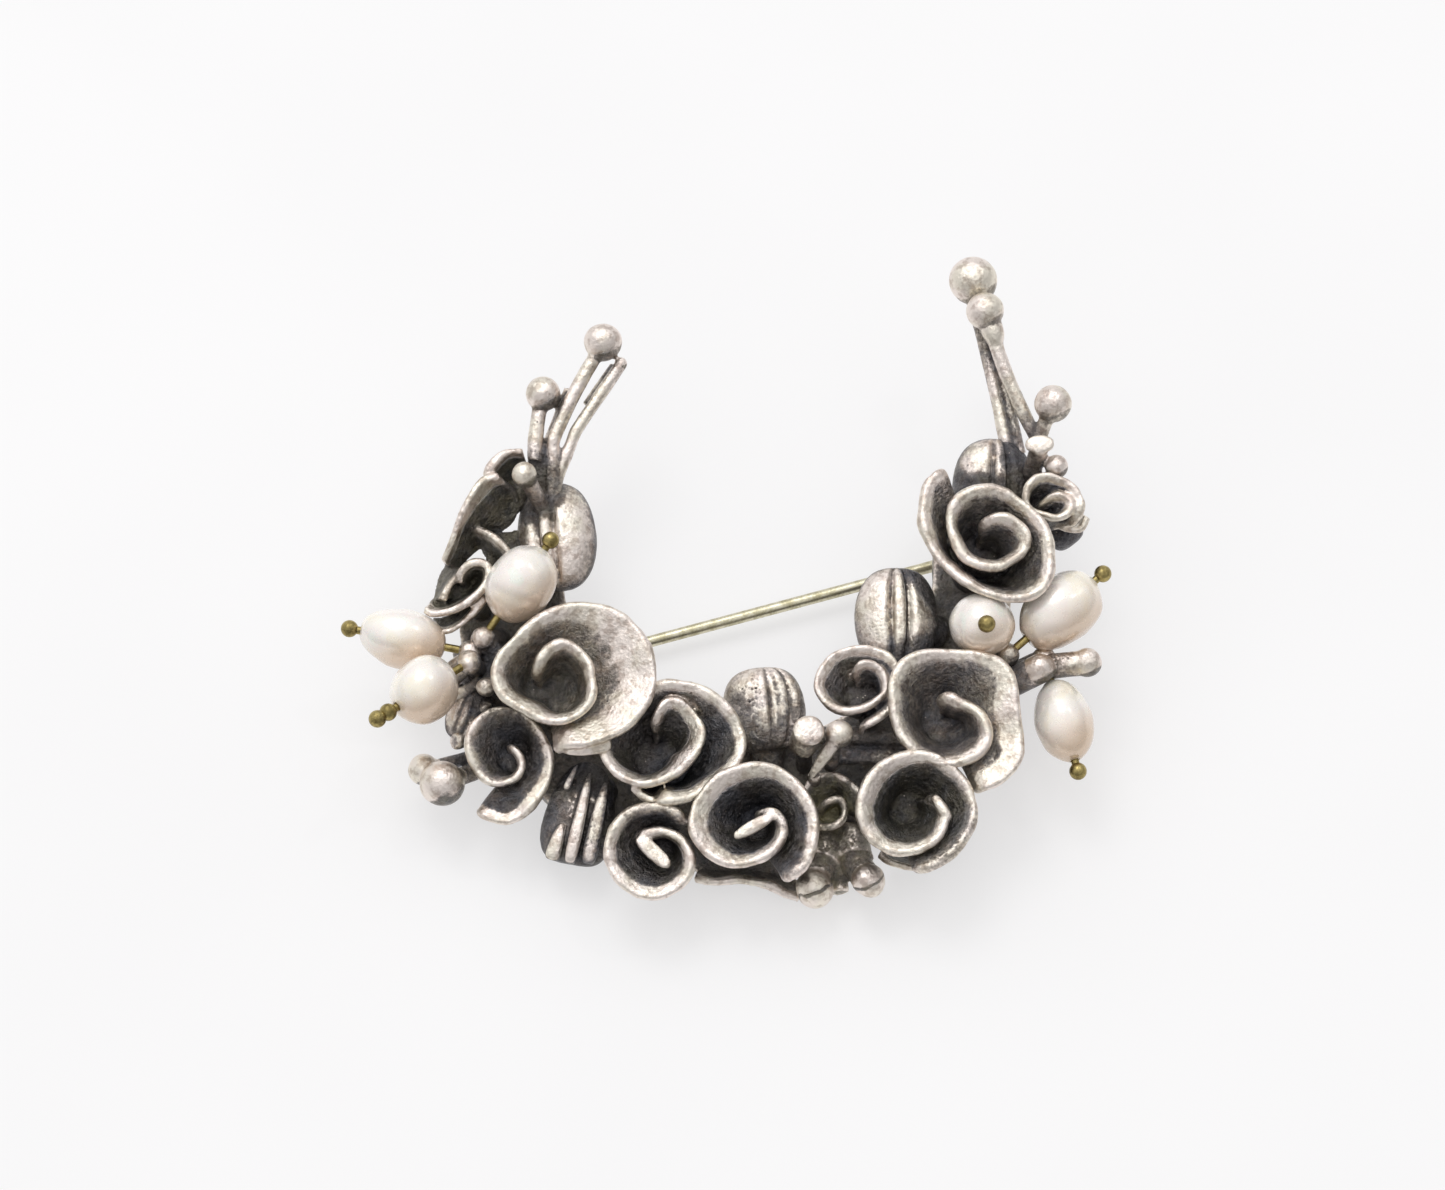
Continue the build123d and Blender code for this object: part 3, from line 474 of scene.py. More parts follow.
# How far the resting brooch is moved to bring its hinge to where the frame has it
SHIFT = np.array(frame["joints"][0]["pos_m"]) / MM - PIVOT
UP = np.array([0, 0, 1.0])
AWAY = np.array([0, 1.0, 0])


def leaned(points):
    """Points from the plate's frame, leaned back to the way the brooch rests, in mm."""
    return np.asarray(points, float).reshape(-1, 3) @ LEANING.T + LIFT * UP


def unleaned(points):
    """The way back from the resting frame to the plate's frame."""
    return (np.asarray(points, float).reshape(-1, 3) - LIFT * UP) @ LEANING


def placed(points):
    """Points from the plate's frame in mm to the row's frame in metres."""
    return (leaned(points) + SHIFT) * MM


def spot(across, away, up):
    return np.array([across * PLATE_OUTER, away * PLATE_OUTER, up * DEPTH])


def centre_of(row):
    return spot(row.across, row.away, row.up)


def ends_of(row):
    return centre_of(row), spot(row.to_across, row.to_away, row.to_up)


def size_of(flower):
    return flower.size * FLOWER_SIZE


def seed_of(name):
    return sum(ord(letter) for letter in name)


def unit(vector):
    return vector / np.linalg.norm(vector, axis=-1, keepdims=True)


def smooth_step(value, low, high):
    part = np.clip((value - low) / (high - low), 0, 1)
    return part * part * (3 - 2 * part)


def curve(before, near, far, after, part):
    """A smooth curve from near to far that heeds the values before and after them."""
    rise_in, rise_out = (far - before) / 2, (after - near) / 2
    bend = 2 * (near - far) + rise_in + rise_out
    sag = 3 * (far - near) - 2 * rise_in - rise_out
    return near + rise_in * part + sag * part**2 + bend * part**3


# Noise
NOISE = np.random.default_rng(11).uniform(-1, 1, 4096)
PRIMES = np.array([1619, 31337, 6971])
SEED_PRIME = 977


def noise(points, cell, seed=0):
    """Smooth noise from -1 to 1 whose lumps are about one cell across."""
    place = points / cell
    low = np.floor(place).astype(np.int64)
    part = place - low
    part = part * part * (3 - 2 * part)
    total = np.zeros(len(place))
    for corner in range(8):
        step = np.array([(corner >> k) & 1 for k in range(3)])
        weight = np.prod(np.where(step, part, 1 - part), axis=1)
        key = ((low + step) * PRIMES).sum(axis=1) + SEED_PRIME * seed
        total += weight * NOISE[key % len(NOISE)]
    return total


def ripple(points, seed, waves):
    """Noise in several waves, each with its height, its cell and what it adds to the seed."""
    return sum(height * noise(points, cell, seed + extra) for height, cell, extra in waves)


# Closed shapes: each is an array of points with a list of faces
def grid(rows, rows_closed=False):
    """A skin over rows of points, each row a closed ring, capped at the ends."""
    points = np.asarray(rows, float)
    index = np.arange(points.shape[0] * points.shape[1]).reshape(points.shape[:2])
    here, ahead = (index, np.roll(index, -1, axis=0)) if rows_closed else (index[:-1], index[1:])
    faces = np.stack([here, np.roll(here, -1, axis=1), np.roll(ahead, -1, axis=1), ahead], -1)
    faces = faces.reshape(-1, 4).tolist()
    if rows_closed:
        return points.reshape(-1, 3), faces
    for ring, middle in ((index[0, ::-1], index.size), (index[-1], index.size + 1)):
        faces += [[*pair, middle] for pair in zip(ring.tolist(), np.roll(ring, -1).tolist())]
    caps = [points[0].mean(axis=0), points[-1].mean(axis=0)]
    return np.vstack([points.reshape(-1, 3), *caps]), faces


UPRIGHT = 0.98


def across_axes(direction):
    """Two unit vectors square to a direction, the second as near to upwards as it can be."""
    direction = unit(direction)
    side = AWAY if abs(direction @ UP) > UPRIGHT else UP
    first = unit(np.cross(direction, side))
    return first, np.cross(first, direction)


def circle(first, second, sides):
    """Points on a unit circle through two unit vectors."""
    turn = np.linspace(0, 2 * pi, sides, endpoint=False)[:, None]
    return np.cos(turn) * first + np.sin(turn) * second


BODY_RINGS = 24
BODY_SIDES = 32
TUBE_SIDES = 20
TUBE_STEP = 0.5


def ellipsoid(start, end, width, thick, kind=KINDS["lump"]):
    """A round body from tip to tip."""
    first, second = across_axes(end - start)
    turn = np.linspace(0, 2 * pi, BODY_SIDES, endpoint=False)[:, None]
    flat = [np.sign(part) * np.abs(part) ** kind.square for part in (np.cos(turn), np.sin(turn))]
    section = flat[0] * first * width / 2 + flat[1] * second * thick / 2
    rows = []
    for share in np.linspace(0, 1, BODY_RINGS + 2)[1:-1]:
        reach = sin(pi * share**kind.skew) ** kind.fullness
        rows.append((start + end) / 2 - (end - start) / 2 * cos(pi * share) + reach * section)
    return grid(rows)


def ball(centre, radius):
    return ellipsoid(centre - radius * UP, centre + radius * UP, 2 * radius, 2 * radius)


def tube(start, end, radius, bend=0.0):
    """A round wire from start to end that bows sideways by a share of its length."""
    first, second = across_axes(end - start)
    length = np.linalg.norm(end - start)
    ring = radius * circle(first, second, TUBE_SIDES)
    rows = []
    for place in np.linspace(0, 1, max(4, int(length / TUBE_STEP))):
        bow = first * bend * length * 4 * place * (1 - place)
        rows.append(start + (end - start) * place + bow + ring)
    return grid(rows)


# Rolled flowers
CORNER = 1.1
LEVELS = 18
CROWDING = 0.75
RIM_STEPS = 9
SWEEP_STEP = 3.0
NARROWEST = 0.16
LEAN_FALL = 0.55
RIM_EDGE = 1.1
LEAST_LIP = 0.01
RADIUS_WAVES = ((0.12, 3.1, 3), (0.03, 0.9, 4))
WALL_WAVES = ((0.22, 2.4, 6), (0.08, 0.7, 7))
RIM_WAVES = ((0.22, 3.0, 0), (0.05, 0.9, 5))


def knots(flower, shares):
    """Bearings and values, in mm, of a flower's row in a table, at each eighth of a turn."""
    return [(FIRST_BEARING + EIGHTH * place, share * size_of(flower))
            for place, share in enumerate(shares.get(flower.name, [])) if share]


def along(table, bearing):
    """The value at a bearing, as a smooth curve through the eighth-turn values."""
    place = max(bearing - table[0][0], 0) / EIGHTH
    step = min(floor(place), len(table) - 2)
    near = [table[min(max(step + k, 0), len(table) - 1)][1] for k in (-1, 0, 1, 2)]
    if step == 0:
        near[0] = 2 * near[1] - near[2]
    if step == len(table) - 2:
        near[3] = 2 * near[2] - near[1]
    return curve(*near, place - step)


def rim_value(flower, shares, bearing):
    """A value of the rim at a bearing, in mm, from the leans or the lips."""
    table = knots(flower, shares) or knots(flower, LEANS)
    if not table:
        return PLAIN_LIP * size_of(flower)
    value = along(table, min(max(bearing, table[0][0]), table[-1][0]))
    return max(value, LEAST_LIP * size_of(flower))


def centre_at(flower, height):
    """The flower leans from its root on the plate to its rim."""
    base = spot(flower.base_across, flower.base_away, 0)
    rim = spot(flower.across, flower.away, 0)
    height = np.asarray(height, float)[..., None]
    return base + (rim - base) * height / (flower.rim * DEPTH) + height * UP


def floor_height(flower):
    """Height of the floor of a flower's cup, in mm."""
    return DEPTH * (flower.rim - CUP * (flower.rim - flower.floor))


def wall_middle(flower, seed):
    """The middle surface of the rolled strip: rows along the strip, columns upwards."""
    count = int((flower.end - flower.start) / SWEEP_STEP)
    bearings = np.linspace(flower.start, flower.end, count + 1)
    table = knots(flower, TURNS)
    radii = np.array([along(table, bearing) for bearing in bearings])
    leans, lips = (np.array([rim_value(flower, shares, bearing) for bearing in bearings])
                   for shares in (LEANS, LIPS))
    turn = np.radians(bearings)
    way = np.stack([np.cos(turn), np.sin(turn), 0 * turn], -1)
    steps = np.linalg.norm(np.diff(radii[:, None] * way, axis=0), axis=1)
    length = np.concatenate([[0], np.cumsum(steps)])
    run = np.stack([length, 0 * length, 0 * length], -1)
    radii = radii + ripple(run, seed, RADIUS_WAVES)
    walls = flower.wall * WALL * (1 + ripple(run, seed, WALL_WAVES))
    missing = np.clip(1 - np.minimum(length, length[-1] - length) / CORNER, 0, 1)
    high = flower.rim * DEPTH - flower.wall * WALL / 2 - CORNER * (1 - np.sqrt(1 - missing**2))
    high = high + ripple(run, seed, RIM_WAVES)
    low = floor_height(flower) - SUNK
    heights = low + (high - low)[:, None] * np.linspace(0, 1, LEVELS) ** CROWDING
    drop = high[:, None] - heights
    lean = leans[:, None] * (1 - np.exp(-drop / (LEAN_FALL * leans[:, None])))
    flare = FLARE * drop / (flower.rim * DEPTH - low) * radii[:, None] ** 2 / size_of(flower)
    inward = np.maximum(radii[:, None] - lean - flare, NARROWEST * radii[:, None])
    return centre_at(flower, heights) + inward[..., None] * way[:, None, :], walls, lips


def strip(middle, walls):
    """A closed strip with a rounded upper edge, as thick at each row as walls says."""
    up = unit(np.gradient(middle, axis=1))
    out = unit(np.cross(np.gradient(middle, axis=0), up))
    half = walls[:, None] / 2
    turns = np.linspace(0, pi, RIM_STEPS + 2)[1:-1]
    edge = [middle[:, -1] + RIM_EDGE * half * (out[:, -1] * cos(turn) + up[:, -1] * sin(turn))
            for turn in turns]
    outer, inner = middle + out * half[:, None], middle - out * half[:, None]
    return grid(np.concatenate([outer, np.stack(edge, axis=1), inner[:, ::-1]], axis=1))


ROOT_SIDES = 60
ROOT_RINGS = 9
ROOT_WAIST = 0.62
ROOT_SWELL = 1.4
ROOT_LEAN = 0.9
ROOT_LEAST = 0.3
ROOT_SPARE = 0.15
ROOT_JOIN = 300


def flower_root(flower):
    """The trunk of a flower, from the plate up to the floor of its cup."""
    table = knots(flower, TURNS)
    first, last = table[0][0], table[-1][0]
    turns = np.linspace(0, 360, ROOT_SIDES, endpoint=False)
    radii = np.array([along(table, min(first + turn, last)) for turn in turns])
    fade = np.clip((turns - ROOT_JOIN) / (360 - ROOT_JOIN), 0, 1)
    radii = radii * (1 - fade) + radii[0] * fade
    leans = np.array([rim_value(flower, LEANS, first + turn) for turn in turns])
    top = radii * (1 - FLARE * radii / size_of(flower)) - leans * ROOT_LEAN
    top = np.maximum(top, ROOT_LEAST * radii)
    ring = np.radians(first + turns)
    way = np.stack([np.cos(ring), np.sin(ring), 0 * ring], -1)
    low, high = PLATE_THICK - SUNK, floor_height(flower)
    rows = []
    for part in np.linspace(0, 1, ROOT_RINGS):
        reach = top * (ROOT_WAIST + (1 - ROOT_WAIST) * part**ROOT_SWELL) + ROOT_SPARE
        rows.append(centre_at(flower, low + (high - low) * part) + reach[:, None] * way)
    return grid(rows)


# Pieces of metal
Metal = namedtuple("Metal", "thing points edges")
metals = []


def linked(name, data):
    thing = bpy.data.objects.new(name, data)
    bpy.context.scene.collection.objects.link(thing)
    return thing


def fresh_object(name, points, faces):
    mesh = bpy.data.meshes.new(name)
    mesh.from_pydata(np.asarray(points).tolist(), [], faces)
    return linked(name, mesh)


def joined(shapes):
    points, faces, start = [], [], 0
    for shape_points, shape_faces in shapes:
        points.append(shape_points)
        faces += [[corner + start for corner in face] for face in shape_faces]
        start += len(shape_points)
    return np.vstack(points), faces


def read(items, name, columns, kind=float):
    """The values of one property of all a mesh's points or edges, as rows."""
    flat = np.empty(len(items) * columns, kind)
    items.foreach_get(name, flat)
    return flat.reshape(-1, columns)


def move(mesh, points):
    mesh.vertices.foreach_set("co", points.ravel())
    mesh.update()


def relaxed(points, edges, shares):
    """Points drawn towards the mean of their neighbours, once for each share."""
    size = len(points)
    count = np.bincount(edges.ravel(), minlength=size)[:, None]
    here, there = np.concatenate([edges, edges[:, ::-1]]).T
    for share in shares:
        total = np.stack([np.bincount(here, weights=points[there, axis], minlength=size)
                          for axis in range(3)], -1)
        points = points + share * (total / count - points)
    return points


# Shares that smooth a skin without shrinking it: a pull in and a push back out, in turn
EVEN_OUT = (0.6, -0.63)
# Height in mm of the lumps in common metal, pods, the plate, and wires that have half melted
LUMPS, POD_LUMPS, PLATE_LUMPS, MELTED_LUMPS = 0.05, 0.03, 0.08, 0.18
LUMP_CELL = 1.3
GRAIN_WAVE = (0.012, 0.34, 1)


def fused(name, shapes, cell, rounds=2, lumps=LUMPS):
    """Melts closed shapes into one piece of metal with a slightly uneven skin."""
    rough = fresh_object(name, *joined(shapes))
    skin = rough.modifiers.new("skin", "REMESH")
    skin.mode = "VOXEL"
    skin.voxel_size = cell
    skin.use_smooth_shade = True
    shown = rough.evaluated_get(bpy.context.evaluated_depsgraph_get())
    mesh = bpy.data.meshes.new_from_object(shown)
    bpy.data.objects.remove(rough)
    mesh.name = name
    edges = read(mesh.edges, "vertices", 2, np.int64)
    points = relaxed(read(mesh.vertices, "co", 3), edges, EVEN_OUT * rounds)
    move(mesh, points)
    swell = ripple(points, seed_of(name), ((lumps, LUMP_CELL, 0), GRAIN_WAVE))
    points = points + read(mesh.vertex_normals, "vector", 3) * swell[:, None]
    move(mesh, points)
    metals.append(Metal(linked(name, mesh), points, edges))


# Edges that are rubbed bright: points, how far the polish reaches in mm, and how bright it is
Edge = namedtuple("Edge", "points reach shine")
bright_edges = {}
LIP_REACH = 0.26
LEAF_REACH = 0.25
BROAD_LIP = 0.3
BROAD_REACH = 0.8
THIN_LIP = 0.045


def add_edge(piece, points, reach, shine):
    wide = [np.broadcast_to(values, len(points)) for values in (reach, shine)]
    bright_edges.setdefault(piece, []).append(Edge(points, *wide))


def reach_over(width, least):
    """How far the polish reaches on a lip: the least, or more where the lip is broad."""
    return least + BROAD_REACH * np.maximum(width - BROAD_LIP, 0)


def smooth_rows(rows, count):
    """Points along a smooth curve through rows of numbers."""
    rows = np.asarray(rows, float)
    places = np.linspace(0, len(rows) - 1, count)
    step = np.minimum(places.astype(int), len(rows) - 2)
    padded = np.vstack([2 * rows[0] - rows[1], rows, 2 * rows[-1] - rows[-2]])
    return curve(*(padded[step + k] for k in range(4)), (places - step)[:, None])


LEAF_WALL = 0.6
LEAF_SAG = 0.48
LEAF_STEPS = 14
LEAF_WAVES = ((0.25, 1.5, 0),)
BACK_POINTS = 14
BACK_REACH = 0.3


def rows_of(kind, piece):
    return [row for row in PARTS.get(piece, []) if isinstance(row, kind)]


def leaves_of(piece):
    """The bent leaves of a piece, with their crests added to the bright edges."""
    shapes = []
    stations = rows_of(Leaf, piece)
    for sheet in dict.fromkeys(row.sheet for row in stations):
        chosen = [row for row in stations if row.sheet == sheet]
        rows = [[*np.concatenate(ends_of(row)), row.shine] for row in chosen]
        line = smooth_rows(rows, LEAF_STEPS * len(rows))
        crest, foot, shine = line[:, :3], line[:, 3:6], line[:, 6]
        share = np.linspace(0, 1, LEVELS)[:, None]
        rise = (crest - foot)[:, None]
        sag = LEAF_SAG * np.linalg.norm(rise, axis=2, keepdims=True) * (share - share**2)
        middle = foot[:, None] + rise * share - sag * UP
        walls = LEAF_WALL * (1 + ripple(crest, len(shapes), LEAF_WAVES))
        shapes.append(strip(middle, walls))
        add_edge(piece, crest, reach_over(shine, LEAF_REACH), smooth_step(shine, 0.0, BROAD_LIP))
    return shapes


def blades_of(piece):
    """The blades of a piece, with their backs added to the bright edges."""
    shapes = []
    for row in rows_of(Blade, piece):
        start, end = ends_of(row)
        shapes.append(ellipsoid(start, end, row.width, row.thick, KINDS[row.kind]))
        back = np.linspace(start, end, BACK_POINTS)[1:-1] + row.thick / 2 * UP
        add_edge(piece, back, row.width * BACK_REACH * row.shine, row.shine)
    return shapes


def parts_of(piece):
    """Everything that the table of parts gives a piece."""
    rods = [tube(*ends_of(row), row.radius * WIRE_RADIUS, row.bend) for row in rows_of(Rod, piece)]
    balls = [ball(centre_of(row), row.radius * BALL_RADIUS) for row in rows_of(Ball, piece)]
    return leaves_of(piece) + blades_of(piece) + rods + balls


def make_flower(flower):
    name = f"flower_{flower.name}"
    shapes = [flower_root(flower)] + parts_of(name)
    if flower.end > flower.start:
        middle, walls, lips = wall_middle(flower, seed_of(flower.name))
        shapes.append(strip(middle, walls))
        shine = smooth_step(lips / size_of(flower), 0.0, THIN_LIP)
        add_edge(name, middle[:, -1], reach_over(lips, LIP_REACH), shine)
    fused(name, shapes, FINE, rounds=3)


POD_RINGS = 90
POD_SIDES = 160
GROOVE_FADE = 1.6


def grooved_body(pod):
    """A pod's body with its grooves, as rings from tip to tip."""
    start, end = ends_of(pod)
    first, second = across_axes(end - start)
    ring = np.linspace(-pi, pi, POD_SIDES, endpoint=False)
    depth = np.zeros(POD_SIDES)
    for groove in GROOVES:
        if groove.pod == pod.name:
            turn = -np.arcsin(groove.place)
            depth += groove.depth * np.exp(-((ring - turn) / groove.width) ** 2)
    across, over = np.sin(ring)[:, None] * pod.width / 2, np.cos(ring)[:, None] * pod.thick / 2
    flat = across * first + over * second
    rows = []
    for share in np.linspace(0, 1, POD_RINGS + 2)[1:-1]:
        reach = sin(pi * share**pod.skew) ** pod.fullness
        radius = reach * (1 - depth * min(1, GROOVE_FADE * reach))
        rows.append(start + (end - start) * (1 - cos(pi * share)) / 2 + radius[:, None] * flat)
    return grid(rows)


def make_pod(pod):
    name = f"pod_{pod.name}"
    fused(name, [grooved_body(pod)] + parts_of(name), POD_CELL, lumps=POD_LUMPS)


def make_wires(name):
    lumps = MELTED_LUMPS if name in ("wires_bottom", "wires_far_left") else LUMPS
    fused(name, parts_of(name), FINE, lumps=lumps)


def pearl_axis(pearl):
    pitch, bearing = radians(pearl.pitch), radians(pearl.bearing)
    return np.array([cos(pitch) * cos(bearing), cos(pitch) * sin(bearing), sin(pitch)])


def make_post(pearl):
    """The post that takes a head pin, from a boss behind the pearl down to the plate."""
    reach = pearl.length * PEARL_SIZE / 2 + POST_BEHIND + BOSS_RADIUS
    boss = centre_of(pearl) - pearl_axis(pearl) * reach
    foot = spot(pearl.foot_across, pearl.foot_away, 0) + (PLATE_THICK - SUNK) * UP
    shapes = [ball(boss, BOSS_RADIUS), tube(boss, foot, POST_RADIUS)]
    fused(f"post_{pearl.name}", shapes, FINE, rounds=3)


# The plate's section: shares of the way from its inner to its outer edge, and of its thickness
PLATE_SECTION = [(0, 0), (0.5, 0), (1, 0), (1, 0.5), (1, 1), (0.5, 1), (0, 1), (0, 0.5)]
PLATE_STEPS = 90


def make_plate():
    """The crescent between two circles that carries everything."""
    centre = np.array([INNER_ACROSS, INNER_AWAY])
    ends = np.radians([LEFT_END, RIGHT_END])
    tips = PLATE_OUTER * np.stack([np.cos(ends), np.sin(ends)], -1)
    first, last = [degrees(atan2(*(tip - centre)[::-1])) % 360 for tip in tips]
    rows = []
    for bearing in np.radians(np.linspace(first - 360, last, PLATE_STEPS)):
        way = np.array([cos(bearing), sin(bearing)])
        inner = centre + way * PLATE_INNER
        past = centre @ way
        outer = centre + way * (sqrt(past**2 - centre @ centre + PLATE_OUTER**2) - past)
        rows.append([[*(inner + (outer - inner) * part), height * PLATE_THICK]
                     for part, height in PLATE_SECTION])
    shapes = [grid(rows)] + parts_of("back_plate")
    fused("back_plate", shapes, COARSE, lumps=PLATE_LUMPS)


# Directions at the hinge and the catch, in the resting frame
LEVEL_TO_TIP = np.array([-cos(radians(STEM_HEADING)), -sin(radians(STEM_HEADING)), 0])
SIDEWAYS = np.array([-sin(radians(STEM_HEADING)), cos(radians(STEM_HEADING)), 0])
CATCH_PLACE = PIVOT + LEVEL_TO_TIP * CATCH_SPAN + (CATCH_HEIGHT - PIVOT[2]) * UP
TO_TIP = unit(CATCH_PLACE - PIVOT)
NEAR_SWING = -SIDEWAYS * sin(radians(SWING_LEAN)) - UP * cos(radians(SWING_LEAN))
HINGE_AXIS = unit(np.cross(TO_TIP, NEAR_SWING))
SWING = unit(np.cross(HINGE_AXIS, TO_TIP))
EAR_SIDES = 72
EAR_SINKS = 0.86
SLOT_STEPS = 14
CATCH_SINKS = 0.6


def hinge_ear(near, far):
    """An ear round the rivet, between two places along it, that reaches back into the plate."""
    reach = (LIFT + PLATE_THICK - PIVOT[2]) / cos(radians(SWING_LEAN)) * EAR_SINKS
    rows = []
    for bearing in np.linspace(0, 2 * pi, EAR_SIDES, endpoint=False):
        c, s = cos(bearing), sin(bearing)
        edge = min(EAR_RADIUS / max(abs(c), 1e-6), reach / -s) if s < 0 else EAR_RADIUS
        way = TO_TIP * c + SWING * s
        rows.append([PIVOT + way * radius + HINGE_AXIS * level for radius, level in
                     ((EAR_BORE, near), (edge, near), (edge, far), (EAR_BORE, far))])
    rows = unleaned(np.array(rows)).reshape(EAR_SIDES, 4, 3)
    return grid(rows, rows_closed=True)


def make_ears():
    inner = EYE_THICK / 2 + EAR_CLEARANCE
    outer = inner + EAR_THICK
    fused("hinge_ears", [hinge_ear(-outer, -inner), hinge_ear(inner, outer)], EAR_CELL, lumps=0.0)


def make_catch():
    """A block with a slanting slot that the stem springs into."""
    way = unit(np.array([SWING @ SIDEWAYS, SWING[2]]))
    mouth = np.array([-way[1], way[0]]) * CATCH_SLOT
    turn = atan2(mouth[1], mouth[0])
    top = LIFT + CATCH_PLACE[1] * sin(TILT) + CATCH_SINKS * PLATE_THICK - CATCH_HEIGHT
    arc = [(CATCH_SLOT * cos(turn - bent), CATCH_SLOT * sin(turn - bent))
           for bent in np.linspace(0, pi, SLOT_STEPS)]
    outline = [(-CATCH_FRONT, top), (-CATCH_FRONT, -CATCH_HEIGHT),
               mouth + way * (-CATCH_HEIGHT - mouth[1]) / way[1], *arc,
               -mouth + way * (CATCH_BACK + mouth[0]) / way[0], (CATCH_BACK, top)]
    size = len(outline)
    points = unleaned([CATCH_PLACE + SIDEWAYS * x + UP * y + LEVEL_TO_TIP * level
                       for level in (-CATCH_WIDTH / 2, CATCH_WIDTH / 2) for x, y in outline])
    faces = [list(range(size))[::-1], list(range(size, 2 * size))]
    faces += [[k, (k + 1) % size, size + (k + 1) % size, size + k] for k in range(size)]
    fused("catch", [(points, faces)], CATCH_CELL, lumps=0.0)


# Finish: how much each place on the metal is polished, with painted light and shade by the way
# faces look, and painted shade on one side of the balls
CELL = 0.25
REACH = 1.8
BATCH = 8000
RUBBED_WIDTH = 0.44
WIDTH_BY_REACH = 0.14
DULLEST_EDGE = 0.3


def height_map():
    """The highest metal over each cell of the plate, spread to what a buffing wheel reaches."""
    everything = np.vstack([metal.points for metal in metals])
    low = everything[:, :2].min(axis=0) - 3 * REACH
    size = np.ceil((everything[:, :2].max(axis=0) + 3 * REACH - low) / CELL).astype(int)
    top = np.zeros(size)
    cell = ((everything[:, :2] - low) / CELL).astype(int)
    np.maximum.at(top, tuple(cell.T), everything[:, 2])
    steps = int(REACH / CELL)
    spread = top
    for x in range(-steps, steps + 1):
        for y in range(-steps, steps + 1):
            if x * x + y * y <= steps * steps:
                spread = np.maximum(spread, np.roll(top, (x, y), axis=(0, 1)))
    for axis in (0, 1) * (steps // 2):
        spread = sum(np.roll(spread, step, axis=axis) for step in (-1, 0, 1)) / 3
    return low, spread


def map_height(points, low, spread):
    """The height map's value over each point, blended between its cells."""
    place = (points[:, :2] - low) / CELL - 0.5
    cell = np.floor(place).astype(int)
    part = place - cell
    total = 0
    for step in ((0, 0), (0, 1), (1, 0), (1, 1)):
        share = np.prod(np.where(step, part, 1 - part), axis=1)
        total = total + share * spread[tuple((cell + step).T)]
    return total


def edge_polish(piece, points):
    """How far each point is polished by being near one of its piece's bright edges, 0 to 1."""
    polish = np.zeros(len(points))
    if piece not in bright_edges:
        return polish
    line, reach, shine = (np.concatenate(column) for column in zip(*bright_edges[piece]))
    for start in range(0, len(points), BATCH):
        part = points[start:start + BATCH]
        beyond = np.linalg.norm(part[:, None] - line, axis=2) - reach
        pick = beyond.argmin(axis=1)
        fall = RUBBED_WIDTH + WIDTH_BY_REACH * (reach[pick] - LIP_REACH)
        past = beyond[np.arange(len(part)), pick] / fall
        brightest = DULLEST_EDGE + (1 - DULLEST_EDGE) * shine[pick]
        polish[start:start + BATCH] = brightest * (1 - smooth_step(past, 0, 1))
    return polish


# Direction, in the plate's frame, of the side of balls and pearls that gets painted shade
PAINTED_SHADE_SIDE = unit(np.array([0.45, -0.82, -0.35]))
# Where, from -1 to 1 along that direction, the painted shade of most balls sets in; and where the
# lowest balls' band of painted shade begins and where it ends
BALL_SHADE_FROM, BALL_SHADE_MOST = (0.22, 0.60), 0.75
SHADE_BAND_FROM, SHADE_BAND_TO, SHADE_BAND_FADE = (-0.14, -0.02), (0.08, 0.22), 0.85
BALL_BRIGHT, BALL_SHADE_DROP, BALL_GREEN = 0.95, 0.75, 0.45
BALL_SKIN = 1.12
BALL_WAVES = ((0.16, 0.8, 5),)


def ball_finish(piece, points, polish, green):
    """Balls are rubbed bright; one side, or a band on the lowest ones, gets painted shade, tinted
    greenish like patina.
    """
    for row in rows_of(Ball, piece):
        way = (points - centre_of(row)) / (row.radius * BALL_RADIUS)
        # painted shade: dark and greenish on the side of each ball that looks down, to the front
        # and to the right
        turned = way @ PAINTED_SHADE_SIDE + ripple(points, 0, BALL_WAVES)
        if piece == "wires_bottom":
            band = 1 - SHADE_BAND_FADE * smooth_step(turned, *SHADE_BAND_TO)
            ball_shade = smooth_step(turned, *SHADE_BAND_FROM) * band
        else:
            ball_shade = BALL_SHADE_MOST * smooth_step(turned, *BALL_SHADE_FROM)
        near = np.linalg.norm(way, axis=1) < BALL_SKIN
        polish = np.where(near, BALL_BRIGHT - BALL_SHADE_DROP * ball_shade, polish)
        green = np.where(near, BALL_GREEN * ball_shade, green)
    return polish, green


# How polished each kind of piece is: everywhere, more on what bulges, more where it is open to the
# wheel (on wires also where it looks up, which is partly painted light), and from how much up by
# how much on its bright edges. The others, which are pods, posts, hinge and plate, take painted
# light where they look up, by the lit share of their look.
Sheen = namedtuple("Sheen", "plain bulge open edge_from edge_by")
FLOWER_SHEEN = Sheen(0.21, 0.19, 0.08, 0.0, 0.74)
WIRE_SHEEN = Sheen(0.26, 0.25, 0.34, 0.25, 0.70)
OTHER_SHEEN = Sheen(0.26, 0.22, 0.0, 0.30, 0.62)
# How many mm proud of the metal around counts as a bulge, how many bulges count at most, and
# how far a place has to bulge for an edge to be rubbed on pods, posts, hinge and plate
BULGE, MOST_BULGE, EDGE_BULGE = 0.07, 1.5, (-0.4, 0.3)
# Share of its shine that a lip keeps at the bottom of a flower's cup
CUP_EDGE = 0.6
# Depths in mm below the metal around: from where to where a place closes to the wheel, and
# a flower's cup goes black
CLOSING, BLACKENING = (0.3, 3.4), (2.2, 4.5)
# How far up a face has to look, from -1 to 1, for the wheel to reach it and painted light to fall
# on it, and for pods, posts, hinge and plate to take their painted light
LIT_FACES, UP_FACES = (-0.3, 0.6), (0.0, 0.85)
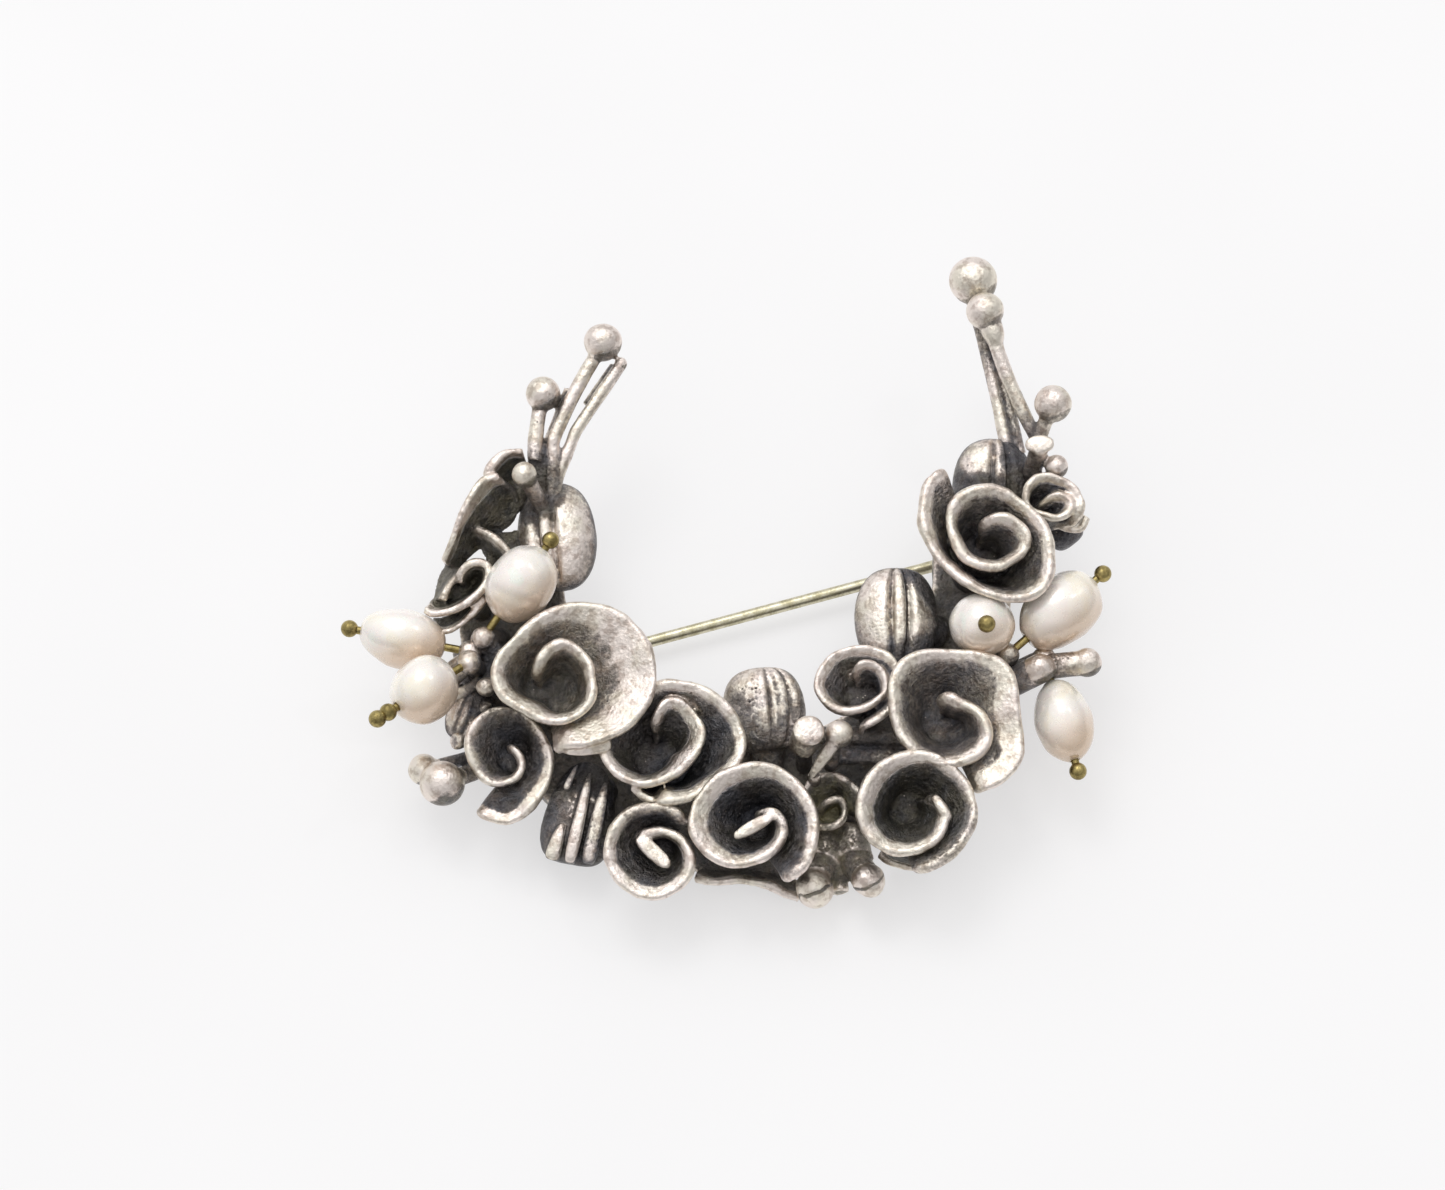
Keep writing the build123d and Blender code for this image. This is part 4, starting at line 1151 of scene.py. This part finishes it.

# How much lighter than usual a piece's hollows are, and how green it is; on a pod or the plate also
# how much painted light its right side gets against its left (painted shade below 0), and how much
# painted light the faces that look up get
LOOKS = {
    "flower_upper_left": Look(green=0.30),
    "flower_small_left": Look(green=0.30),
    "flower_large_left": Look(0.27, 0.30),
    "flower_centre_left": Look(0.05),
    "flower_lower_right": Look(green=0.20),
    "flower_right_square": Look(0.21),
    "flower_small_centre": Look(0.05),
    "flower_large_right": Look(0.17),
    "flower_outer_left": Look(0.05),
    "flower_deep_small": Look(0.22, 0.85),
    "pod_upper_left": Look(to_right=-0.06),
    "pod_lower_left": Look(-0.14),
    "pod_middle": Look(0.17, 0.0, -0.10, 0.20),
    "pod_inner_right": Look(-0.05, 0.0, -0.20),
    "pod_upper_right": Look(-0.08, 0.0, -0.04),
    "pod_outer_left": Look(-0.10),
    "wires_upper_left": Look(0.06),
    "wires_upper_right": Look(0.12),
    "wires_centre": Look(0.04),
    "wires_bottom": Look(0.20, 0.80),
    "back_plate": Look(0.07, 0.20),
}


def store(mesh, name, values):
    attribute = mesh.attributes.new(name, "FLOAT", "POINT")
    attribute.data.foreach_set("value", np.asarray(values, np.float32))


def finish_metals(material):
    low, spread = height_map()
    for thing, points, edges in metals:
        name, mesh = thing.name, thing.data
        look = LOOKS.get(name, Look())
        normals = read(mesh.vertex_normals, "vector", 3)
        upward = normals[:, 2]
        depth = map_height(points, low, spread) - points[:, 2]
        around = relaxed(points, edges, (0.5,) * BULGE_ROUNDS)
        proud = ((points - around) * normals).sum(axis=1)
        bulge = np.clip(proud / BULGE, -MOST_BULGE, MOST_BULGE)
        opened = 1 - smooth_step(depth, *CLOSING)
        # faces that look up where the wheel reaches: partly real polish, partly painted light
        lit = opened * smooth_step(upward, *LIT_FACES)
        rubbed = edge_polish(name, points)
        green = np.full(len(points), look.green)
        if name.startswith("wires"):
            sheen = WIRE_SHEEN
            polish = sheen.plain + sheen.bulge * bulge + sheen.open * lit
            polish = np.maximum(polish, sheen.edge_from + sheen.edge_by * rubbed)
            polish, green = ball_finish(name, points, polish, green)
        elif name.startswith("flower"):
            sheen = FLOWER_SHEEN
            edge = rubbed * (CUP_EDGE + (1 - CUP_EDGE) * opened)
            polish = sheen.plain + sheen.bulge * bulge + sheen.edge_by * edge
            polish += sheen.open * (opened - smooth_step(depth, *BLACKENING))
        else:
            sheen = OTHER_SHEEN
            # painted light on faces that look right (painted shade where the share is below 0), and
            # painted light on faces that look up
            polish = sheen.plain + sheen.bulge * bulge + look.to_right * normals[:, 0]
            polish += look.lit * lit * smooth_step(upward, *UP_FACES)
            edge = rubbed * smooth_step(bulge, *EDGE_BULGE)
            polish = np.maximum(polish, sheen.edge_from + sheen.edge_by * edge)
        store(mesh, "polish", polish + look.lighter * (1 - rubbed))
        store(mesh, "patina", green)
        resting = placed(points)
        resting[:, 2] = np.maximum(resting[:, 2], 0)
        move(mesh, resting)
        mesh.materials.append(material)
        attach(thing, "brooch")
        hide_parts("silver_cluster")


PEARL_SIDES = 72
PEARL_RINGS = 56
BORE_RINGS = 8
BORE_DIP = 0.05
BORE_RIM = 0.5
PEARL_WAVES = ((0.22, 2.8, 0), (0.05, 0.9, 0))
PEARL_SHRINK = 0.08
# Cells and share of the clouds in a pearl's painted shade, and where, towards its shaded side, the
# painted shade sets in and is full
CLOUD_CELL, CLOUD_SHARE = 1.8, 0.25
SHADE_FROM = (-0.60, 0.72)


def pearl_shape(pearl):
    """An even drilled pearl, from one end of its bore to the other and back inside."""
    half_length, half_width = pearl.length * PEARL_SIZE / 2, pearl.width * PEARL_SIZE / 2
    edge = np.arcsin(PEARL_BORE / half_width)
    profile = [(half_length * cos(turn), half_width * sin(turn))
               for turn in np.linspace(edge, pi - edge, PEARL_RINGS)]
    levels = np.linspace(profile[-1][0], profile[0][0], BORE_RINGS + 2)[1:-1]
    profile += [(level, PEARL_BORE) for level in levels]
    axis = pearl_axis(pearl)
    ring = circle(*across_axes(axis), PEARL_SIDES)
    rows = [centre_of(pearl) + axis * level + radius * ring for level, radius in profile]
    return grid(rows, rows_closed=True)


def pearl_swell(pearl, points, seed):
    """How far the skin of a pearl stands out from an even one: lumps, folds and its bore's rim."""
    swell = ripple(points, seed, PEARL_WAVES) - PEARL_SHRINK
    for fold in FOLDS:
        if fold.pearl == pearl.name:
            start, end = ends_of(fold)
            way = end - start
            share = np.clip((points - start) @ way / (way @ way), 0, 1)
            away = np.linalg.norm(points - start - share[:, None] * way, axis=1)
            swell -= fold.depth * np.exp(-(away / fold.width) ** 2)
    off_axis = np.linalg.norm(np.cross(points - centre_of(pearl), pearl_axis(pearl)), axis=1)
    clear = np.clip((off_axis - PEARL_BORE) / BORE_RIM, 0, 1)
    return (swell + PLUMP.get(pearl.name, 0.0)) * clear - BORE_DIP * (1 - clear)


def make_pearl(pearl, material):
    """A slightly uneven pearl with a drilled bore, with painted shade on its lower right side."""
    points, faces = pearl_shape(pearl)
    centre, seed = centre_of(pearl), seed_of(pearl.name)
    outside = points[:PEARL_RINGS * PEARL_SIDES]
    outside += unit(outside - centre) * pearl_swell(pearl, outside, seed)[:, None]
    # painted shade: the pearl browns towards its lower right side
    facing = (points - centre) @ PAINTED_SHADE_SIDE / (pearl.width * PEARL_SIZE / 2)
    shade = smooth_step(facing + CLOUD_SHARE * noise(points, CLOUD_CELL, seed + 2), *SHADE_FROM)
    thing = fresh_object(f"pearl_{pearl.name}_nacre", placed(points), faces)
    store(thing.data, "shade", shade)
    for face in thing.data.polygons:
        face.use_smooth = True
    thing.data.materials.append(material)
    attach(thing, "brooch")
    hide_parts(f"pearl_{pearl.name}")


# Materials
class Nodes:
    """Short calls for building the nodes of a material or of the world; lengths are in mm."""

    def __init__(self, owner):
        owner.use_nodes = True
        self.owner = owner
        self.tree = owner.node_tree
        self.places = self.add("TexCoord", {}).outputs

    def put(self, node, values):
        """Sets each of these sockets of a node, or links it to another node's output."""
        for name, value in values.items():
            if isinstance(value, bpy.types.NodeSocket):
                self.tree.links.new(value, node.inputs[name])
            else:
                node.inputs[name].default_value = value

    def add(self, kind, values):
        node = self.tree.nodes.new(f"ShaderNode{kind}")
        self.put(node, values)
        return node

    def finished(self, values, node="Principled BSDF"):
        self.put(self.tree.nodes[node], values)
        return self.owner

    def attribute(self, name):
        node = self.add("Attribute", {})
        node.attribute_name = name
        return node.outputs["Fac"]

    def noise(self, cell, detail=3.0, rough=0.6):
        """Noise from 0 to 1 with lumps about one cell across."""
        values = {"Scale": 1 / (cell * MM), "Detail": detail, "Roughness": rough}
        return self.add("TexNoise", {**values, "Vector": self.places["Object"]}).outputs["Fac"]

    def cells(self, cell):
        """Distance, in cells, to the nearest of scattered points about one cell apart."""
        values = {"Scale": 1 / (cell * MM), "Vector": self.places["Object"]}
        return self.add("TexVoronoi", values).outputs["Distance"]

    def math(self, kind, first, second, clamp=False):
        node = self.add("Math", {0: first, 1: second})
        node.operation = kind
        node.use_clamp = clamp
        return node.outputs[0]

    def ramp(self, source, stops, smooth=True):
        node = self.add("ValToRGB", {"Fac": source})
        node.color_ramp.interpolation = "EASE" if smooth else "LINEAR"
        elements = node.color_ramp.elements
        while len(elements) < len(stops):
            elements.new(0.5)
        for element, (place, colour) in zip(elements, stops):
            element.position = place
            element.color = (*colour, 1)
        return node.outputs["Color"]

    def range(self, source, low, high, to_low, to_high):
        values = {"From Min": low, "From Max": high, "To Min": to_low, "To Max": to_high}
        return self.add("MapRange", {**values, "Value": source}).outputs["Result"]

    def mix(self, share, first, second, blend="MIX"):
        node = self.add("Mix", {"Factor": share})
        node.data_type = "RGBA"
        node.blend_type = blend
        colours = [place for place, socket in enumerate(node.inputs) if socket.type == "RGBA"]
        self.put(node, dict(zip(colours, (first, second))))
        return [socket for socket in node.outputs if socket.type == "RGBA"][0]

    def times(self, first, second):
        return self.mix(1.0, first, second, "MULTIPLY")

    def bump(self, height, depth, strength):
        values = {"Strength": strength, "Distance": depth * MM, "Height": height}
        return self.add("Bump", values).outputs["Normal"]


def silver():
    """Silver blackened in its hollows, with the rims rubbed back to bright metal; its brightness
    also carries painted light, painted shade and painted glints.
    """
    n = Nodes(bpy.data.materials.new("oxidised_silver"))
    broad = n.noise(1.6, 3.0, 0.6)
    fine = n.noise(0.20, 4.0, 0.75)
    pits = n.cells(0.30)
    crust = n.noise(0.42, 4.0, 0.65)
    # brightness: the polish attribute, which holds rubbing as well as painted light and shade, with
    # noise and painted glints added
    brightness = n.attribute("polish")
    waves = ((fine, 0.5, 0.42), (broad, 0.5, 0.42), (crust, 0.5, 0.35), (pits, 0.35, 0.14))
    for wave, middle, weight in waves:
        brightness = n.math("ADD", brightness, n.math("MULTIPLY", n.math("SUBTRACT", wave, middle), weight))
    brightness = n.math("SUBTRACT", brightness, n.range(n.cells(0.9), 0.04, 0.12, 0.20, 0.0), clamp=True)
    # painted glints: small bright specks raised into the brightness where the broad noise is
    # middling
    glint_specks = n.range(n.cells(0.42), 0.10, 0.24, 1.0, 0.0)
    painted_glints = n.math("MULTIPLY", glint_specks, n.range(broad, 0.46, 0.56, 0.0, 1.0))
    brightness = n.math("MAXIMUM", brightness, n.math("MULTIPLY", painted_glints, 0.62))
    colour = n.ramp(brightness, [(0.0, (0.066, 0.063, 0.063)), (0.24, (0.145, 0.140, 0.139)),
                           (0.44, (0.275, 0.262, 0.256)), (0.56, (0.49, 0.465, 0.45)),
                           (0.76, (1.0, 1.0, 1.0))], smooth=False)
    tone = n.ramp(n.noise(0.75, 3.0, 0.6), [(0.36, (0.70, 0.66, 0.64)), (0.53, (1.0, 1.0, 1.0))])
    colour = n.times(colour, tone)
    bright = n.ramp(n.noise(3.0, 2.0), [(0.4, (0.87, 0.81, 0.70)), (0.6, (0.90, 0.81, 0.745))])
    colour = n.mix(n.range(brightness, 0.35, 0.65, 0.25, 1.0), colour, n.times(colour, bright))
    tint = n.ramp(n.noise(2.6, 2.0), [(0.38, (0.66, 0.76, 0.98)), (0.54, (1.0, 0.98, 0.99)),
                                      (0.70, (1.0, 0.98, 0.74))])
    colour = n.mix(n.math("SUBTRACT", 0.75, brightness, clamp=True), colour, n.times(colour, tint))
    green = n.ramp(n.noise(0.9, 3.0), [(0.34, (0.105, 0.10, 0.07)), (0.62, (0.46, 0.42, 0.27))])
    green_share = n.math("MULTIPLY", n.attribute("patina"), n.range(brightness, 0.25, 0.7, 0.85, 0.1))
    rough = n.math("ADD", n.range(brightness, 0.1, 0.9, 0.25, 0.27), n.math("MULTIPLY", fine, 0.10))
    height = n.math("ADD", n.math("MULTIPLY", fine, 0.5), n.math("MULTIPLY", pits, 0.3))
    crusty = n.math("MULTIPLY", crust, n.range(brightness, 0.3, 0.6, 3.4, 0.1))
    return n.finished({
        "Base Color": n.mix(green_share, colour, green),
        "Metallic": n.range(brightness, 0.15, 0.7, 0.85, 1.0),
        "Roughness": rough,
        "Normal": n.bump(n.math("ADD", height, crusty), 0.10, 1.0),
    })


def nacre():
    """Pearl with a soft coat, pale with cream, rose and green clouds, browner where painted shade
    falls.
    """
    n = Nodes(bpy.data.materials.new("nacre"))
    cloud = n.noise(0.8, 3.0)
    colour = n.ramp(n.noise(2.4, 2.0), [(0.36, (0.97, 0.90, 0.75)), (0.48, (0.97, 0.92, 0.84)),
                                        (0.58, (0.97, 0.89, 0.84)), (0.70, (0.89, 0.94, 0.85))])
    pale = n.mix(n.range(cloud, 0.3, 0.7, 0.0, 0.45), colour, (0.98, 0.94, 0.88, 1))
    grain = n.math("MULTIPLY", n.noise(0.25, 2.0), 0.3)
    return n.finished({
        # painted shade: browner where the shade attribute is high
        "Base Color": n.mix(n.attribute("shade"), pale, (0.78, 0.61, 0.46, 1)),
        "Roughness": n.range(cloud, 0.3, 0.7, 0.22, 0.32),
        "Subsurface Weight": 0.10,
        "Subsurface Radius": (0.6 * MM, 0.5 * MM, 0.4 * MM),
        "Subsurface Scale": 1.0,
        "Metallic": 0.22,
        "Coat Weight": 0.8,
        "Coat Roughness": 0.16,
        "Coat IOR": 1.6,
        "Normal": n.bump(n.math("ADD", n.math("MULTIPLY", cloud, 0.7), grain), 0.05, 0.5),
    })


def aged_brass(name, bright, dull):
    n = Nodes(bpy.data.materials.new(name))
    blotches, grain = n.math("MULTIPLY", n.noise(0.9), 0.6), n.math("MULTIPLY", n.noise(0.18), 0.4)
    brightness = n.math("ADD", blotches, grain)
    return n.finished({
        "Base Color": n.ramp(brightness, [(0.36, dull), (0.62, bright)]),
        "Roughness": n.range(brightness, 0.35, 0.65, 0.42, 0.28),
        "Metallic": 1.0,
        "Normal": n.bump(brightness, 0.02, 0.6),
    })


def paper():
    n = Nodes(bpy.data.materials.new("paper"))
    return n.finished({
        "Base Color": n.ramp(n.noise(60, 2.0), [(0.3, (0.37,) * 3), (0.7, (0.39,) * 3)]),
        "Emission Color": (1.0, 0.99, 0.99, 1),
        "Emission Strength": 0.57,
        "Roughness": 0.9,
        "Specular IOR Level": 0.1,
    })


def dress_nodes():
    """Finishes for the pieces of the frame that are shown as they are."""
    pin = aged_brass("olive_brass", (0.46, 0.37, 0.15), (0.20, 0.155, 0.06))
    stem = aged_brass("nickel_brass", (0.72, 0.68, 0.52), (0.46, 0.42, 0.27))
    for name, thing in frame["nodes"].items():
        if name.startswith(("head_pin", "pin_stem", "hinge_rivet")):
            thing.data.materials.clear()
            thing.data.materials.append(pin if name.startswith("head_pin") else stem)


# Surroundings, in metres
FLOOR_HALF = 1.2
# The way to the light tent's brightest place, and its brightness by how far a direction turns
# that way
TENT_WAY = (-0.18, 0.35, 0.90)
TENT = [(0.0, 0.30), (0.35, 0.50), (0.65, 0.80), (0.90, 1.0)]
TENT_STRENGTH = 1.1
TENT_TINT = np.array([0.985, 0.985, 1.0])
Lamp = namedtuple("Lamp", "name x y z size power")
LAMPS = [Lamp("window", -0.12, 0.24, 0.50, 0.26, 0.62), Lamp("lamp", 0.22, 0.20, 0.50, 0.05, 0.10)]


def make_floor():
    corners = [(x * FLOOR_HALF, y * FLOOR_HALF, 0) for x, y in ((-1, -1), (1, -1), (1, 1), (-1, 1))]
    floor_plane = fresh_object("floor", corners, [[0, 1, 2, 3]])
    floor_plane.data.materials.append(paper())


def make_light():
    """A light tent that is brightest above and behind, with a window and a lamp in it."""
    n = Nodes(bpy.data.worlds.new("studio"))
    towards = n.add("VectorMath", {0: n.places["Generated"], 1: Vector(TENT_WAY).normalized()})
    towards.operation = "DOT_PRODUCT"
    stops = [(place, value * TENT_TINT) for place, value in TENT]
    tent = n.ramp(towards.outputs["Value"], stops, smooth=False)
    values = {"Strength": TENT_STRENGTH, "Color": tent}
    bpy.context.scene.world = n.finished(values, "Background")
    for lamp in LAMPS:
        data = bpy.data.lights.new(lamp.name, "AREA")
        data.shape = "DISK"
        data.size = lamp.size
        data.energy = lamp.power
        thing = linked(lamp.name, data)
        thing.location = (lamp.x, lamp.y, lamp.z)
        thing.rotation_euler = (-thing.location).to_track_quat("-Z", "Y").to_euler()
    bpy.context.scene.view_settings.view_transform = "Standard"


def make_camera():
    rise = radians(CAMERA_ELEVATION)
    data = bpy.data.cameras.new("camera")
    data.lens = LENS
    data.sensor_width = SENSOR
    data.clip_start = NEAREST
    camera = linked("camera", data)
    back = Vector((0, -cos(rise), sin(rise))) * CAMERA_DISTANCE * MM
    camera.location = Vector(placed([LOOK_AT])[0]) + back
    camera.rotation_euler = (pi / 2 - rise, 0, 0)
    bpy.context.scene.camera = camera


def main():
    make_camera()
    make_light()
    make_floor()
    make_plate()
    for flower in FLOWERS:
        make_flower(flower)
    for pod in PODS:
        make_pod(pod)
    for name in PARTS:
        if name.startswith("wires"):
            make_wires(name)
    for pearl in PEARLS:
        make_post(pearl)
    make_ears()
    make_catch()
    finish_metals(silver())
    shine = nacre()
    for pearl in PEARLS:
        make_pearl(pearl, shine)
    dress_nodes()


main()
